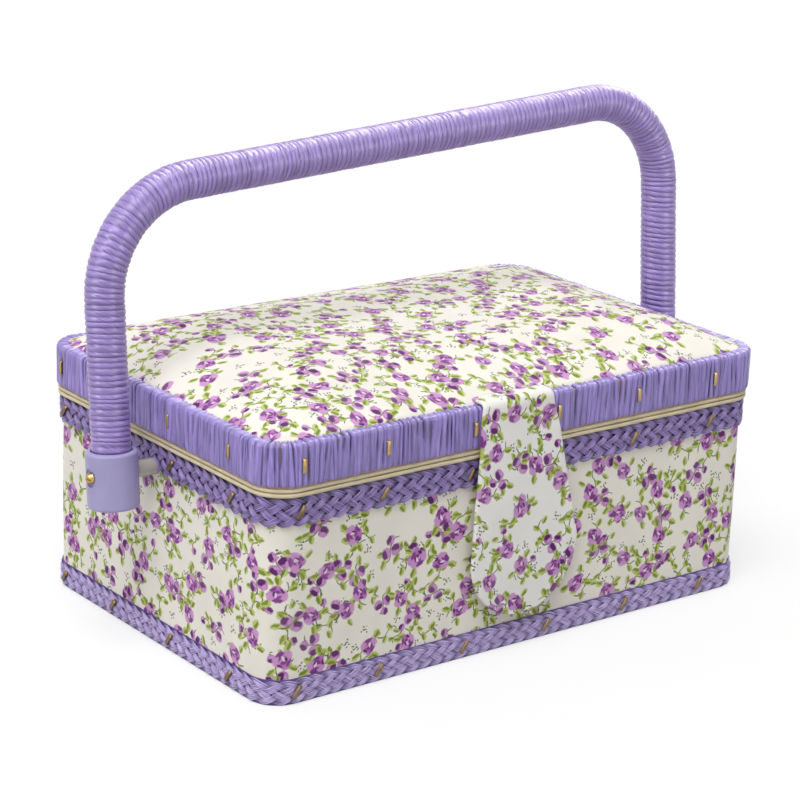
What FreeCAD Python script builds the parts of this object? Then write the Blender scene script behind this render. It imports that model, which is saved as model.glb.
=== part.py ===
"""A cloth-covered sewing box with a padded lid, a wound rim, a wound bail handle and a front flap.

Lengths are in millimetres and angles in degrees. The origin lies on the floor under the middle of
the box. +X runs along its length, +Y points to the hinged back and +Z points up.
"""

import FreeCAD
import Part
import Sketcher

import math
import os
import re

from FreeCAD import Placement, Rotation, Vector

# Driving dimensions. Each can be set by itself.
SIZES = {
    # Box walls, measured over the printed cloth
    "body_length": 244.0,
    "body_width": 159.0,
    "body_height": 83.6,
    "body_corner": 12.0,
    "cover_thickness": 0.8,
    "wall_thickness": 3.0,
    "lining_thickness": 0.8,
    "base_thickness": 3.0,
    "pad_thickness": 2.0,
    "fit_clearance": 0.2,
    # Braids round the walls
    "braid_thickness": 1.6,
    "top_braid_height": 12.0,
    "base_braid_height": 10.0,
    "base_braid_lift": 0.4,
    # Cream welts between box and lid
    "welt_height": 1.6,
    "welt_width": 5.0,
    "welt_reach": 1.3,
    "lid_gap": 0.4,
    # Lid with its wound rim
    "rim_overhang": 3.0,
    "rim_height": 17.8,
    "rim_rounding": 1.2,
    "winding_thickness": 1.2,
    "hoop_thickness": 4.0,
    "lid_board_thickness": 3.0,
    "lid_lining_thickness": 1.0,
    # Padded top of the lid
    "cushion_rise": 9.5,
    "cushion_corner": 10.0,
    "cushion_shoulder": 32.0,
    "cushion_clearance": 0.3,
    "cushion_tuck": 0.6,
    # Staples in the rim and the braids
    "staple_pitch": 42.0,
    "staple_shift": -8.4,
    "staple_length": 5.5,
    "staple_width": 1.8,
    "staple_thickness": 0.6,
    "staple_tilt": 35.0,
    "staple_room": 2.2,
    # Butt hinges at the back
    "hinge_spacing": 140.0,
    "hinge_width": 24.0,
    "hinge_lift": 1.8,
    "hinge_neck_drop": 1.0,
    "leaf_height": 11.0,
    "leaf_thickness": 0.8,
    "knuckle_radius": 1.8,
    "knuckle_gap": 0.3,
    "hinge_pin_radius": 0.8,
    "hinge_pin_clearance": 0.3,
    "hinge_screw_radius": 0.8,
    "hinge_screw_head": 1.6,
    "hinge_screw_length": 5.4,
    "hinge_screw_spacing": 14.0,
    # Handle pivots
    "pivot_drop": 9.7,
    "pivot_screw_radius": 1.6,
    "pivot_clearance": 0.3,
    "screw_head_radius": 2.3,
    "screw_head_height": 1.6,
    "screw_slot_width": 0.6,
    "nut_radius": 3.4,
    "nut_height": 3.0,
    "sleeve_radius": 3.4,
    "sleeve_length": 9.8,
    "sleeve_play": 0.3,
    # Handle cups
    "cup_radius": 10.2,
    "cup_below": 12.9,
    "cup_above": 9.7,
    "cup_rounding": 1.2,
    "seat_depth": 6.8,
    "seat_clearance": 0.3,
    "spot_depth": 0.9,
    "spot_radius": 3.6,
    # Handle bail: a bent core, wound all over
    "core_radius": 5.8,
    "wind_radius": 7.9,
    "wind_pitch": 2.25,
    "wind_groove": 0.45,
    "bar_height": 115.0,
    "bar_rise": 14.0,
    "left_bend": 42.0,
    "right_bend": 38.0,
    "handle_lean": 5.0,
    # Front flap
    "flap_thickness": 1.8,
    "flap_centre": -9.5,
    "flap_lean": 5.5,
    "flap_top_width": 35.0,
    "flap_full_width": 54.0,
    "flap_foot": 15.0,
    "flap_round_depth": 27.0,
    "flap_gap": 0.3,
    "flap_stand_off": 0.4,
    "flap_axis_lift": 0.5,
    "flap_draw_in": 0.6,
    "flap_bow": 0.5,
    # Magnetic snap under the flap
    "snap_radius": 6.0,
    "snap_thickness": 1.6,
    "snap_rise": 22.0,
    "snap_gap": 0.4,
    "snap_bed": 0.4,
}

# Sizes worked out from the driving ones. Offsets are from the cloth's face, outwards.
DERIVED = {
    "wall_face": "-cover_thickness",
    "wall_back": "wall_face - wall_thickness",
    "lining_back": "wall_back - lining_thickness",
    "pad_edge": "lining_back - fit_clearance",
    "base_edge": "wall_back",
    "top_braid_level": "body_height - top_braid_height",
    "pivot_height": "body_height - pivot_drop",
    "pad_level": "base_thickness",
    "lid_welt_level": "body_height + welt_height + lid_gap",
    "lid_level": "lid_welt_level + welt_height",
    "rim_top": "lid_level + rim_height",
    "hoop_face": "rim_overhang - winding_thickness",
    "hoop_back": "hoop_face - hoop_thickness",
    "rim_back": "hoop_back - winding_thickness",
    "board_edge": "rim_back - fit_clearance",
    "board_top": "lid_level + lid_board_thickness",
    "cushion_edge": "rim_back - cushion_clearance",
    "welt_back": "welt_reach - welt_width",
    "lid_lining_edge": "welt_back - fit_clearance",
    "rim_half_width": "body_width / 2 + rim_overhang",
    "hinge_axis_y": "rim_half_width + knuckle_radius + knuckle_gap",
    "hinge_axis_z": "lid_level + hinge_lift",
    "knuckle_length": "(hinge_width - 2 * knuckle_gap) / 3",
    "braid_face_y": "body_width / 2 + braid_thickness",
    "spot_face": "cup_radius - spot_depth",
    "sleeve_face_x": "body_length / 2 + sleeve_play",
    "handle_half": "sleeve_face_x + sleeve_length + sleeve_play + spot_face",
    "screw_seat_x": "handle_half + spot_face + sleeve_play",
    "nut_face_x": "body_length / 2 + lining_back",
    "leg_start": "cup_above - seat_depth",
    "seat_radius": "wind_radius + seat_clearance",
    "flap_axis_y": "-(rim_half_width + flap_stand_off + flap_thickness / 2)",
    "flap_axis_z": "lid_level + flap_axis_lift",
    "flap_length": "rim_top - flap_foot",
    "snap_height": "flap_foot + snap_rise",
}

doc = FreeCAD.newDocument("SewingBox")
sheet = doc.addObject("Spreadsheet::Sheet", "Sizes")


def linked(formula):
    """A formula on plain size names, with each name pointing at its cell of the sheet."""
    return re.sub(r"\b([a-z]+(?:_[a-z]+)+)\b", r"Sizes.\1", formula)


def fill_sheet():
    """Writes a named row for each driving size and each one worked out from them."""
    rows = [(name, str(number)) for name, number in SIZES.items()]
    rows += [(name, "=" + formula) for name, formula in DERIVED.items()]
    for row, (name, text) in enumerate(rows, start=1):
        sheet.set(f"A{row}", name)
        sheet.set(f"B{row}", text)
        sheet.setAlias(f"B{row}", name)
    doc.recompute()


def value(formula):
    """The number that a formula on size names gives."""
    return float(sheet.evalExpression(linked(formula)))


def bind(thing, **formulas):
    """Binds properties to formulas; x, y and z stand for the placement's base."""
    for name, formula in formulas.items():
        path = f".Placement.Base.{name}" if name in ("x", "y", "z") else name
        thing.setExpression(path, linked(formula))
    return thing


# Sketched solids


def new_body(name):
    """An empty body with its own label."""
    return doc.addObject("PartDesign::Body", name)


def new_sketch(body, plane, name, lift=None):
    """A sketch on one of the body's own planes, lifted along the plane's normal."""
    sketch = body.newObject("Sketcher::SketchObject", name)
    support = next(p for p in body.Origin.OriginFeatures if p.Role == plane)
    sketch.AttachmentSupport = [(support, "")]
    sketch.MapMode = "FlatFace"
    if lift:
        sketch.setExpression(".AttachmentOffset.Base.z", linked(lift))
    return sketch


def name_size(sketch, constraint, name, formula):
    """Adds a dimension to a sketch and binds it to a formula."""
    index = sketch.addConstraint(constraint)
    sketch.renameConstraint(index, name)
    sketch.setExpression(f"Constraints.{name}", linked(formula))


def circle(sketch, radius):
    """A circle about the sketch's origin."""
    index = sketch.addGeometry(Part.Circle(Vector(), Vector(0, 0, 1), value(radius)))
    sketch.addConstraint(Sketcher.Constraint("Coincident", index, 3, -1, 1))
    name_size(sketch, Sketcher.Constraint("Radius", index, value(radius)), "radius", radius)


def plan_loop(sketch, name, offset):
    """The box's rounded plan, moved outwards by an offset, centred on the sketch's origin."""
    length, width = f"body_length + 2 * ({offset})", f"body_width + 2 * ({offset})"
    corner = f"body_corner + ({offset})"
    x, y, r = value(length) / 2, value(width) / 2, value(corner)
    first = sketch.GeometryCount
    turns = [(x - r, r - y, -90), (x - r, y - r, 0), (r - x, y - r, 90), (r - x, r - y, 180)]
    runs = [
        ((r - x, -y), (x - r, -y)),
        ((x, r - y), (x, y - r)),
        ((x - r, y), (r - x, y)),
        ((-x, y - r), (-x, r - y)),
    ]
    for (start, end), (cx, cy, angle) in zip(runs, turns):
        sketch.addGeometry(Part.LineSegment(Vector(*start), Vector(*end)))
        round_corner = Part.Circle(Vector(cx, cy), Vector(0, 0, 1), r)
        begin = math.radians(angle)
        sketch.addGeometry(Part.ArcOfCircle(round_corner, begin, begin + math.pi / 2))
    bottom, right, top, left = (first + 2 * i for i in range(4))
    for i in range(8):
        after = first + (i + 1) % 8
        sketch.addConstraint(Sketcher.Constraint("Tangent", first + i, 2, after, 1))
    sketch.addConstraint(Sketcher.Constraint("Symmetric", bottom, 1, bottom, 2, -2))
    sketch.addConstraint(Sketcher.Constraint("Symmetric", right, 1, right, 2, -1))
    sketch.addConstraint(Sketcher.Constraint("Horizontal", top))
    sketch.addConstraint(Sketcher.Constraint("Vertical", left))
    for other in (right, top, left):
        sketch.addConstraint(Sketcher.Constraint("Equal", bottom + 1, other + 1))
    name_size(sketch, Sketcher.Constraint("Radius", bottom + 1, r), f"{name}_corner", corner)
    across = Sketcher.Constraint("DistanceX", left, 1, right, 2, 2 * x)
    name_size(sketch, across, f"{name}_length", length)
    deep = Sketcher.Constraint("DistanceY", bottom, 1, top, 2, 2 * y)
    name_size(sketch, deep, f"{name}_width", width)


def ring(name, outer, inner, level, height):
    """A layer round the box: the plan between two offsets, or a whole plate with no inner one."""
    body = new_body(name)
    sketch = new_sketch(body, "XY_Plane", name + "_plan")
    plan_loop(sketch, "outer", outer)
    if inner is not None:
        plan_loop(sketch, "inner", inner)
    pad = body.newObject("PartDesign::Pad", name + "_pad")
    pad.Profile = sketch
    bind(pad, Length=height)
    return bind(body, z=level)


def pocket(body, sketch, depth=None, outwards=False):
    """Cuts a sketch into a body, to a depth or right through."""
    before = body.Shape.Volume
    cut = body.newObject("PartDesign::Pocket", sketch.Name + "_cut")
    cut.Profile = sketch
    cut.Reversed = outwards
    if depth is None:
        cut.Type = "ThroughAll"
    else:
        bind(cut, Length=depth)
    doc.recompute()
    if not body.Shape.Volume < before - 1e-6:
        raise RuntimeError(f"{sketch.Name} removes nothing from {body.Label}")


def soften(body, radius, chosen):
    """Rounds the edges of a body's last feature that a test on their box picks."""
    doc.recompute()
    tip = body.Tip
    names = [f"Edge{i}" for i, e in enumerate(tip.Shape.Edges, start=1) if chosen(e.BoundBox)]
    fillet = body.newObject("PartDesign::Fillet", body.Name + "_rounding")
    fillet.Base = (tip, names)
    bind(fillet, Radius=radius)
    doc.recompute()


# Turned and plain solids


def rod(name, along, x, y, z, radius, length):
    """A round bar from a point along X, Y or Z, or against it with a minus sign."""
    turns = {
        "X": Rotation(Vector(0, 1, 0), 90),
        "-X": Rotation(Vector(0, 1, 0), -90),
        "Y": Rotation(Vector(1, 0, 0), -90),
        "-Y": Rotation(Vector(1, 0, 0), 90),
        "Z": Rotation(),
    }
    bar = doc.addObject("Part::Cylinder", name)
    bar.Placement = Placement(Vector(), turns[along])
    return bind(bar, Radius=radius, Height=length, x=x, y=y, z=z)


def block(name, x, y, z, length, width, height):
    """A plain block from its lowest corner."""
    solid = doc.addObject("Part::Box", name)
    return bind(solid, Length=length, Width=width, Height=height, x=x, y=y, z=z)


def cut(name, base, *tools):
    """A solid less one or more tools."""
    for i, tool in enumerate(tools, start=1):
        last = i == len(tools)
        result = doc.addObject("Part::Cut", name if last else f"{name}_step{i}")
        result.Base = base
        result.Tool = tool
        base = result
    return base


def fuse(name, *pieces):
    """One solid made of overlapping ones."""
    result = doc.addObject("Part::MultiFuse", name)
    result.Shapes = list(pieces)
    result.Refine = True
    return result


def pair(name, source):
    """A solid and its mirror image across the box's middle, as one group."""
    mirror = doc.addObject("Part::Mirroring", name + "_mirror")
    mirror.Source = source
    mirror.Normal = Vector(1, 0, 0)
    group = doc.addObject("Part::Compound", name)
    group.Links = [source, mirror]
    return group


def free_form(name, shape, placement=None):
    """A solid or group worked out in code, placed after its shape is set."""
    feature = doc.addObject("Part::Feature", name)
    feature.Shape = shape
    if placement is not None:
        feature.Placement = placement
    return feature


# Box


def make_box():
    """The box's boards, cloth, lining and braids, with the holes for the handle's screws."""
    reach = "body_length + 2 * braid_thickness"
    start = f"-({reach}) / 2"
    hole = "pivot_screw_radius + pivot_clearance"
    notch = "sleeve_radius + pivot_clearance + fit_clearance"
    bore = rod("pivot_bore", "X", start, "0", "pivot_height", hole, reach)
    sleeve_bore = rod("sleeve_bore", "X", start, "0", "pivot_height", notch, reach)
    cover = ring("cover_blank", "0", "wall_face", "0", "body_height")
    wall = ring("wall_blank", "wall_face", "wall_back", "0", "body_height")
    lining_height = "body_height - pad_level"
    lining = ring("lining_blank", "wall_back", "lining_back", "pad_level", lining_height)
    braid = ring("top_braid_blank", "braid_thickness", "0", "top_braid_level", "top_braid_height")
    base_braid_level = "base_braid_lift"
    return [
        ring("base_panel", "base_edge", None, "0", "base_thickness"),
        ring("floor_pad", "pad_edge", None, "pad_level", "pad_thickness"),
        ring("base_braid", "braid_thickness", "0", base_braid_level, "base_braid_height"),
        ring("box_welt", "welt_reach", "welt_back", "body_height", "welt_height"),
        cut("fabric_cover", cover, bore),
        cut("wall_hoop", wall, bore),
        cut("lining_wall", lining, bore),
        cut("top_braid", braid, sleeve_bore),
    ]


# Lid


def make_rim_winding():
    """The winding round the lid's hoop: outside, top and inside, with its edges rounded."""
    body = ring("rim_winding", "rim_overhang", "rim_back", "lid_level", "rim_height")
    doc.recompute()
    groove = new_sketch(body, "XY_Plane", "hoop_groove")
    plan_loop(groove, "outer", "hoop_face")
    plan_loop(groove, "inner", "hoop_back")
    pocket(body, groove, "rim_height - winding_thickness", outwards=True)
    high = value("rim_height")
    soften(body, "rim_rounding", lambda box: box.ZMin > high - 1e-3)
    return body


def rounded_wire(offset, corner, level):
    """The box's plan moved outwards by an offset, with corners of its own, as a closed wire."""
    x, y = value("body_length") / 2 + offset, value("body_width") / 2 + offset
    quarters = [(x, -y, -90), (x, y, 0), (-x, y, 90), (-x, -y, 180)]
    edges = []
    ends = []
    for cx, cy, angle in quarters:
        mid = Vector(cx - math.copysign(corner, cx), cy - math.copysign(corner, cy), level)
        spokes = [math.radians(angle + step) for step in (0, 45, 90)]
        ends.append([mid + Vector(math.cos(a), math.sin(a), 0) * corner for a in spokes])
    for i, (begin, middle, end) in enumerate(ends):
        edges.append(Part.Arc(begin, middle, end).toShape())
        edges.append(Part.LineSegment(end, ends[(i + 1) % 4][0]).toShape())
    return Part.Wire(edges)


def crowned_pad(inset):
    """The lid's padded top, from the board up: steep at the rim, then rounding over to its crown.

    The inset makes the same form smaller all round, for the foam inside the cloth.
    """
    shoulder = value("rim_top - cushion_tuck")
    rise = value("cushion_rise + cushion_tuck") - inset
    corner = value("cushion_corner")
    edge = value("cushion_edge") - inset
    shoulder_width = value("cushion_shoulder")
    # What share of its shoulder the form has drawn in, and what share of its rise it has reached
    profile = [(0, 0), (0.022, 0.22), (0.08, 0.45), (0.22, 0.7), (0.5, 0.89), (1, 1)]
    sections = [
        rounded_wire(edge - shoulder_width * drawn_in, corner, shoulder + rise * share)
        for drawn_in, share in profile
    ]
    crown = Part.makeLoft(sections, True, False)
    bottom = value("board_top")
    foot = Part.Face(rounded_wire(edge, corner, bottom))
    return foot.extrude(Vector(0, 0, shoulder - bottom)).fuse(crown).removeSplitter()


def make_lid():
    """The lid's hoop, winding, board, lining, welt and padded top."""
    skin = value("cover_thickness")
    foam = crowned_pad(skin)
    hoop_height = "rim_height - winding_thickness"
    lining_level = "lid_level - lid_lining_thickness"
    return [
        make_rim_winding(),
        ring("lid_frame", "hoop_face", "hoop_back", "lid_level", hoop_height),
        ring("lid_board", "board_edge", None, "lid_level", "lid_board_thickness"),
        ring("lid_lining", "lid_lining_edge", None, lining_level, "lid_lining_thickness"),
        ring("lid_welt", "welt_reach", "welt_back", "lid_welt_level", "welt_height"),
        free_form("lid_foam", foam),
        free_form("lid_cover", crowned_pad(0).cut(foam)),
    ]


# Hinges


def make_hinges():
    """Two butt hinges: leaves on the rim and on the braid, knuckles, pins and their screws."""
    left = "hinge_spacing / 2 - hinge_width / 2"
    middle = f"{left} + knuckle_length + knuckle_gap"
    right = f"{left} + 2 * (knuckle_length + knuckle_gap)"
    axis = ("hinge_axis_y", "hinge_axis_z")
    running = "hinge_pin_radius + hinge_pin_clearance"

    lid_face = "rim_half_width"
    plate_foot = "hinge_axis_z + knuckle_radius + knuckle_gap"
    lid_parts = [
        block(
            "lid_plate", left, lid_face, plate_foot, "hinge_width", "leaf_thickness", "leaf_height"
        )
    ]
    for i, x in enumerate((left, right), start=1):
        knuckle = rod(f"lid_knuckle{i}", "X", x, *axis, "knuckle_radius", "knuckle_length")
        arm_depth = "knuckle_radius + knuckle_gap"
        arm_rise = "knuckle_radius + 2 * knuckle_gap"
        size = ("knuckle_length", arm_depth, arm_rise)
        lid_parts += [knuckle, block(f"lid_arm{i}", x, lid_face, "hinge_axis_z", *size)]
    eye = rod("lid_eye", "X", left, *axis, running, "hinge_width")
    lid_leaf = cut("lid_leaf", fuse("lid_leaf_blank", *lid_parts), eye)

    braid_face = "braid_face_y"
    plate_level = "body_height - leaf_height"
    neck_level = "lid_level - hinge_neck_drop - leaf_thickness"
    plate_height = f"{neck_level} + leaf_thickness - ({plate_level})"
    plate = ("hinge_width", "leaf_thickness", plate_height)
    neck_depth = f"hinge_axis_y + leaf_thickness - {braid_face}"
    stem_rise = f"hinge_axis_z - ({neck_level})"
    box_parts = [
        block("box_plate", left, braid_face, plate_level, *plate),
        block(
            "box_neck", middle, braid_face, neck_level, "knuckle_length", neck_depth, "leaf_thickness"
        ),
        block(
            "box_stem",
            middle,
            "hinge_axis_y - leaf_thickness",
            neck_level,
            "knuckle_length",
            "2 * leaf_thickness",
            stem_rise,
        ),
        rod("box_knuckle", "X", middle, *axis, "knuckle_radius", "knuckle_length"),
    ]
    box_eye = rod("box_eye", "X", middle, *axis, "hinge_pin_radius", "knuckle_length")
    box_leaf = cut("box_leaf", fuse("box_leaf_blank", *box_parts), box_eye)
    pin = rod("hinge_pin", "X", left, *axis, "hinge_pin_radius", "hinge_width")

    lid_screw_level = f"{plate_foot} + leaf_height / 2"
    box_screw_level = f"{plate_level} + leaf_height / 2"
    return [
        pair("hinge_lid_leaves", lid_leaf),
        pair("hinge_box_leaves", box_leaf),
        pair("hinge_pins", pin),
        hinge_screws("hinge_lid_screws", f"{lid_face} + leaf_thickness", lid_screw_level),
        hinge_screws("hinge_box_screws", f"{braid_face} + leaf_thickness", box_screw_level),
    ]


def hinge_screws(name, face, level):
    """Two screws in each hinge leaf, with domed heads on its face and shanks in the wood behind."""
    screws = []
    for i, side in enumerate((-1, 1), start=1):
        x = f"hinge_spacing / 2 + {side} * hinge_screw_spacing / 2"
        shank = rod(
            f"{name}_shank{i}", "-Y", x, face, level, "hinge_screw_radius", "hinge_screw_length"
        )
        head = doc.addObject("Part::Cone", f"{name}_head{i}")
        head.Placement = Placement(Vector(), Rotation(Vector(1, 0, 0), -90))
        bind(head, Radius1="hinge_screw_head", Radius2="hinge_screw_radius", x=x, y=face, z=level)
        bind(head, Height="leaf_thickness")
        screws.append(fuse(f"{name}_{i}", shank, head))
    both = doc.addObject("Part::Compound", name + "_side")
    both.Links = screws
    return pair(name, both)


# Handle


def make_pivots():
    """The two screws through the walls, their nuts inside and the clear sleeves outside."""
    axis = ("0", "pivot_height")
    inner_end = "nut_face_x - nut_height"
    shank_length = f"screw_seat_x - ({inner_end})"
    shank = rod("pivot_shank", "X", inner_end, *axis, "pivot_screw_radius", shank_length)
    head = doc.addObject("Part::Cone", "pivot_head")
    head.Placement = Placement(Vector(), Rotation(Vector(0, 1, 0), 90))
    bind(head, Radius1="screw_head_radius", Radius2="pivot_screw_radius")
    bind(head, Height="screw_head_height", x="screw_seat_x", y=axis[0], z=axis[1])
    slot = block(
        "pivot_slot",
        "screw_seat_x + screw_head_height - screw_slot_width",
        "-screw_head_radius",
        "pivot_height - screw_slot_width / 2",
        "2 * screw_slot_width",
        "2 * screw_head_radius",
        "screw_slot_width",
    )
    screw = cut("pivot_screw", fuse("pivot_screw_blank", shank, head), slot)

    nut_blank = doc.addObject("Part::Prism", "nut_blank")
    nut_blank.Polygon = 6
    nut_blank.Placement = Placement(Vector(), Rotation(Vector(0, 1, 0), 90))
    bind(nut_blank, Circumradius="nut_radius", Height="nut_height")
    bind(nut_blank, x=inner_end, y=axis[0], z=axis[1])
    thread = rod("nut_thread", "X", inner_end, *axis, "pivot_screw_radius", "nut_height")

    barrel = rod("sleeve_barrel", "X", "sleeve_face_x", *axis, "sleeve_radius", "sleeve_length")
    hole = "pivot_screw_radius + pivot_clearance"
    bore = rod("sleeve_hole", "X", "sleeve_face_x", *axis, hole, "sleeve_length")
    return [
        pair("pivot_screws", screw),
        pair("pivot_nuts", cut("pivot_nut", nut_blank, thread)),
        pair("pivot_sleeves", cut("pivot_sleeve", barrel, bore)),
    ]


def lean_back(body, x):
    """Stands a piece of the handle on the pivots' line and leans it back."""
    body.Placement = Placement(Vector(), Rotation(Vector(-1, 0, 0), value("handle_lean")))
    body.setExpression(".Placement.Rotation.Angle", linked("handle_lean"))
    return bind(body, x=x, y="0", z="pivot_height")


def make_cup(name, x):
    """A moulded cup on the pivot screw, with a seat for the handle's leg in its top."""
    body = new_body(name)
    outline = new_sketch(body, "XY_Plane", name + "_outline", "-cup_below")
    circle(outline, "cup_radius")
    pad = body.newObject("PartDesign::Pad", name + "_pad")
    pad.Profile = outline
    bind(pad, Length="cup_below + cup_above")
    soften(body, "cup_rounding", lambda box: box.ZLength < 1e-6)
    seat = new_sketch(body, "XY_Plane", name + "_seat", "cup_above")
    circle(seat, "seat_radius")
    pocket(body, seat, "seat_depth")
    for side, lift, outwards in (("right", "spot_face", True), ("left", "-spot_face", False)):
        spot = new_sketch(body, "YZ_Plane", f"{name}_{side}_spot", lift)
        circle(spot, "spot_radius")
        pocket(body, spot, outwards=outwards)
        hole = new_sketch(body, "YZ_Plane", f"{name}_{side}_hole")
        circle(hole, "pivot_screw_radius + pivot_clearance")
        pocket(body, hole, outwards=outwards)
    return lean_back(body, x)


def bail_line():
    """The handle's centre line as lines and arcs, in the plane of the handle, from leg to leg."""
    half, start, middle = value("handle_half"), value("leg_start"), value("bar_height")
    slope = math.atan2(value("bar_rise"), 2 * half)
    bends = []
    for side, radius in ((-1, value("left_bend")), (1, value("right_bend"))):
        corner = Vector(side * half, 0, middle + side * value("bar_rise") / 2)
        reach = radius * math.tan((math.pi / 2 + side * slope) / 2)
        on_leg = corner - Vector(0, 0, reach)
        on_bar = corner - Vector(math.cos(slope), 0, math.sin(slope)) * (side * reach)
        centre = on_leg - Vector(side * radius, 0, 0)
        halfway = (on_leg + on_bar) / 2 - centre
        bends.append((on_leg, centre + halfway.normalize() * radius, on_bar))
    (left_leg, left_mid, left_bar), (right_leg, right_mid, right_bar) = bends
    return [
        Part.LineSegment(Vector(-half, 0, start), left_leg),
        Part.Arc(left_leg, left_mid, left_bar),
        Part.LineSegment(left_bar, right_bar),
        Part.Arc(right_bar, right_mid, right_leg),
        Part.LineSegment(right_leg, Vector(half, 0, start)),
    ]


def make_core():
    """The handle's bent core: a circle carried along a sketched line of legs, bends and bar."""
    body = new_body("handle_core")
    path = new_sketch(body, "XZ_Plane", "bail_path")
    turn = math.pi / 2 + math.atan2(value("bar_rise"), 2 * value("handle_half"))
    spans = iter([(turn, math.pi), (0, turn)])
    for curve in bail_line():
        if isinstance(curve, Part.LineSegment):
            ends = [Vector(end.x, end.z) for end in (curve.StartPoint, curve.EndPoint)]
            path.addGeometry(Part.LineSegment(*ends))
        else:
            bend = curve.toShape().Curve
            centre = Vector(bend.Center.x, bend.Center.z)
            round_bend = Part.Circle(centre, Vector(0, 0, 1), bend.Radius)
            path.addGeometry(Part.ArcOfCircle(round_bend, *next(spans)))
    left_leg, left_bend, bar, right_bend, right_leg = range(5)
    middle = path.addGeometry(Part.Point(Vector(0, value("bar_height"))), True)
    joins = [
        (left_leg, 2, left_bend, 2),
        (left_bend, 1, bar, 1),
        (bar, 2, right_bend, 2),
        (right_bend, 1, right_leg, 1),
    ]
    for join in joins:
        path.addConstraint(Sketcher.Constraint("Tangent", *join))
    for leg in (left_leg, right_leg):
        path.addConstraint(Sketcher.Constraint("Vertical", leg))
    path.addConstraint(Sketcher.Constraint("PointOnObject", middle, 1, bar))
    path.addConstraint(Sketcher.Constraint("PointOnObject", middle, 1, -2))
    half, start = value("handle_half"), value("leg_start")
    slope = "atan(bar_rise / (2 * handle_half))"
    dimensions = [
        (Sketcher.Constraint("DistanceX", left_leg, 1, -1, 1, half), "left_half", "handle_half"),
        (Sketcher.Constraint("DistanceX", -1, 1, right_leg, 2, half), "right_half", "handle_half"),
        (Sketcher.Constraint("DistanceY", -1, 1, left_leg, 1, start), "left_start", "leg_start"),
        (Sketcher.Constraint("DistanceY", -1, 1, right_leg, 2, start), "right_start", "leg_start"),
        (Sketcher.Constraint("Radius", left_bend, value("left_bend")), "left_turn", "left_bend"),
        (Sketcher.Constraint("Radius", right_bend, value("right_bend")), "right_turn", "right_bend"),
        (
            Sketcher.Constraint("DistanceY", -1, 1, middle, 1, value("bar_height")),
            "middle_height",
            "bar_height",
        ),
        (Sketcher.Constraint("Angle", bar, math.radians(value(slope))), "bar_slope", slope),
    ]
    for dimension in dimensions:
        name_size(path, *dimension)
    profile = new_sketch(body, "XY_Plane", "core_section", "leg_start")
    index = profile.addGeometry(Part.Circle(Vector(-half, 0), Vector(0, 0, 1), value("core_radius")))
    radius = Sketcher.Constraint("Radius", index, value("core_radius"))
    name_size(profile, radius, "radius", "core_radius")
    profile.addConstraint(Sketcher.Constraint("PointOnObject", index, 3, -1))
    reach = Sketcher.Constraint("DistanceX", index, 3, -1, 1, half)
    name_size(profile, reach, "half", "handle_half")
    doc.recompute()
    pipe = body.newObject("PartDesign::AdditivePipe", "core_pipe")
    pipe.Profile = profile
    pipe.Spine = path
    doc.recompute()
    return lean_back(body, "0")


def make_winding(core):
    """The strip wound close along the handle, as a sleeve with one rib for each turn."""
    line = Part.Wire([curve.toShape() for curve in bail_line()])
    crest, groove = value("wind_radius"), value("wind_radius - wind_groove")
    turns = round(line.Length / value("wind_pitch"))
    # Each rib's four circles: from groove to crest and back, as shares of the pitch
    rib = [(0.0, groove), (0.3, crest), (0.7, crest)]
    stations = [((turn + share) / turns, radius) for turn in range(turns) for share, radius in rib]
    stations.append((1.0, groove))
    lengths = [edge.Length for edge in line.OrderedEdges]
    circles = []
    for share, radius in stations:
        along = share * line.Length
        index = 0
        while index < len(lengths) - 1 and along > lengths[index]:
            along -= lengths[index]
            index += 1
        edge = line.OrderedEdges[index]
        at = edge.getParameterByLength(min(along, lengths[index] * (1 - 1e-9)))
        point, heading = edge.valueAt(at), edge.tangentAt(at)
        across = Vector(0, 1, 0)
        frame = Placement(point, Rotation(across, heading.cross(across), heading, "ZXY"))
        turn_circle = Part.makeCircle(radius)
        turn_circle.Placement = frame
        circles.append(Part.Wire(turn_circle))
    outside = Part.makeLoft(circles, True, True)
    # The core runs on past both ends here, so that the sleeve is cut open cleanly
    run_on = Part.Face(Part.Wire(Part.makeCircle(value("core_radius")))).extrude(Vector(0, 0, -crest))
    inside = core.Tip.Shape
    for side in (-1, 1):
        stub = run_on.copy()
        stub.translate(Vector(side * value("handle_half"), 0, value("leg_start")))
        inside = inside.fuse(stub)
    print(f"handle winding: {turns} turns, {line.Length:.1f} mm long")
    return free_form("handle_winding", outside.cut(inside), core.Placement)


# Flap


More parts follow.
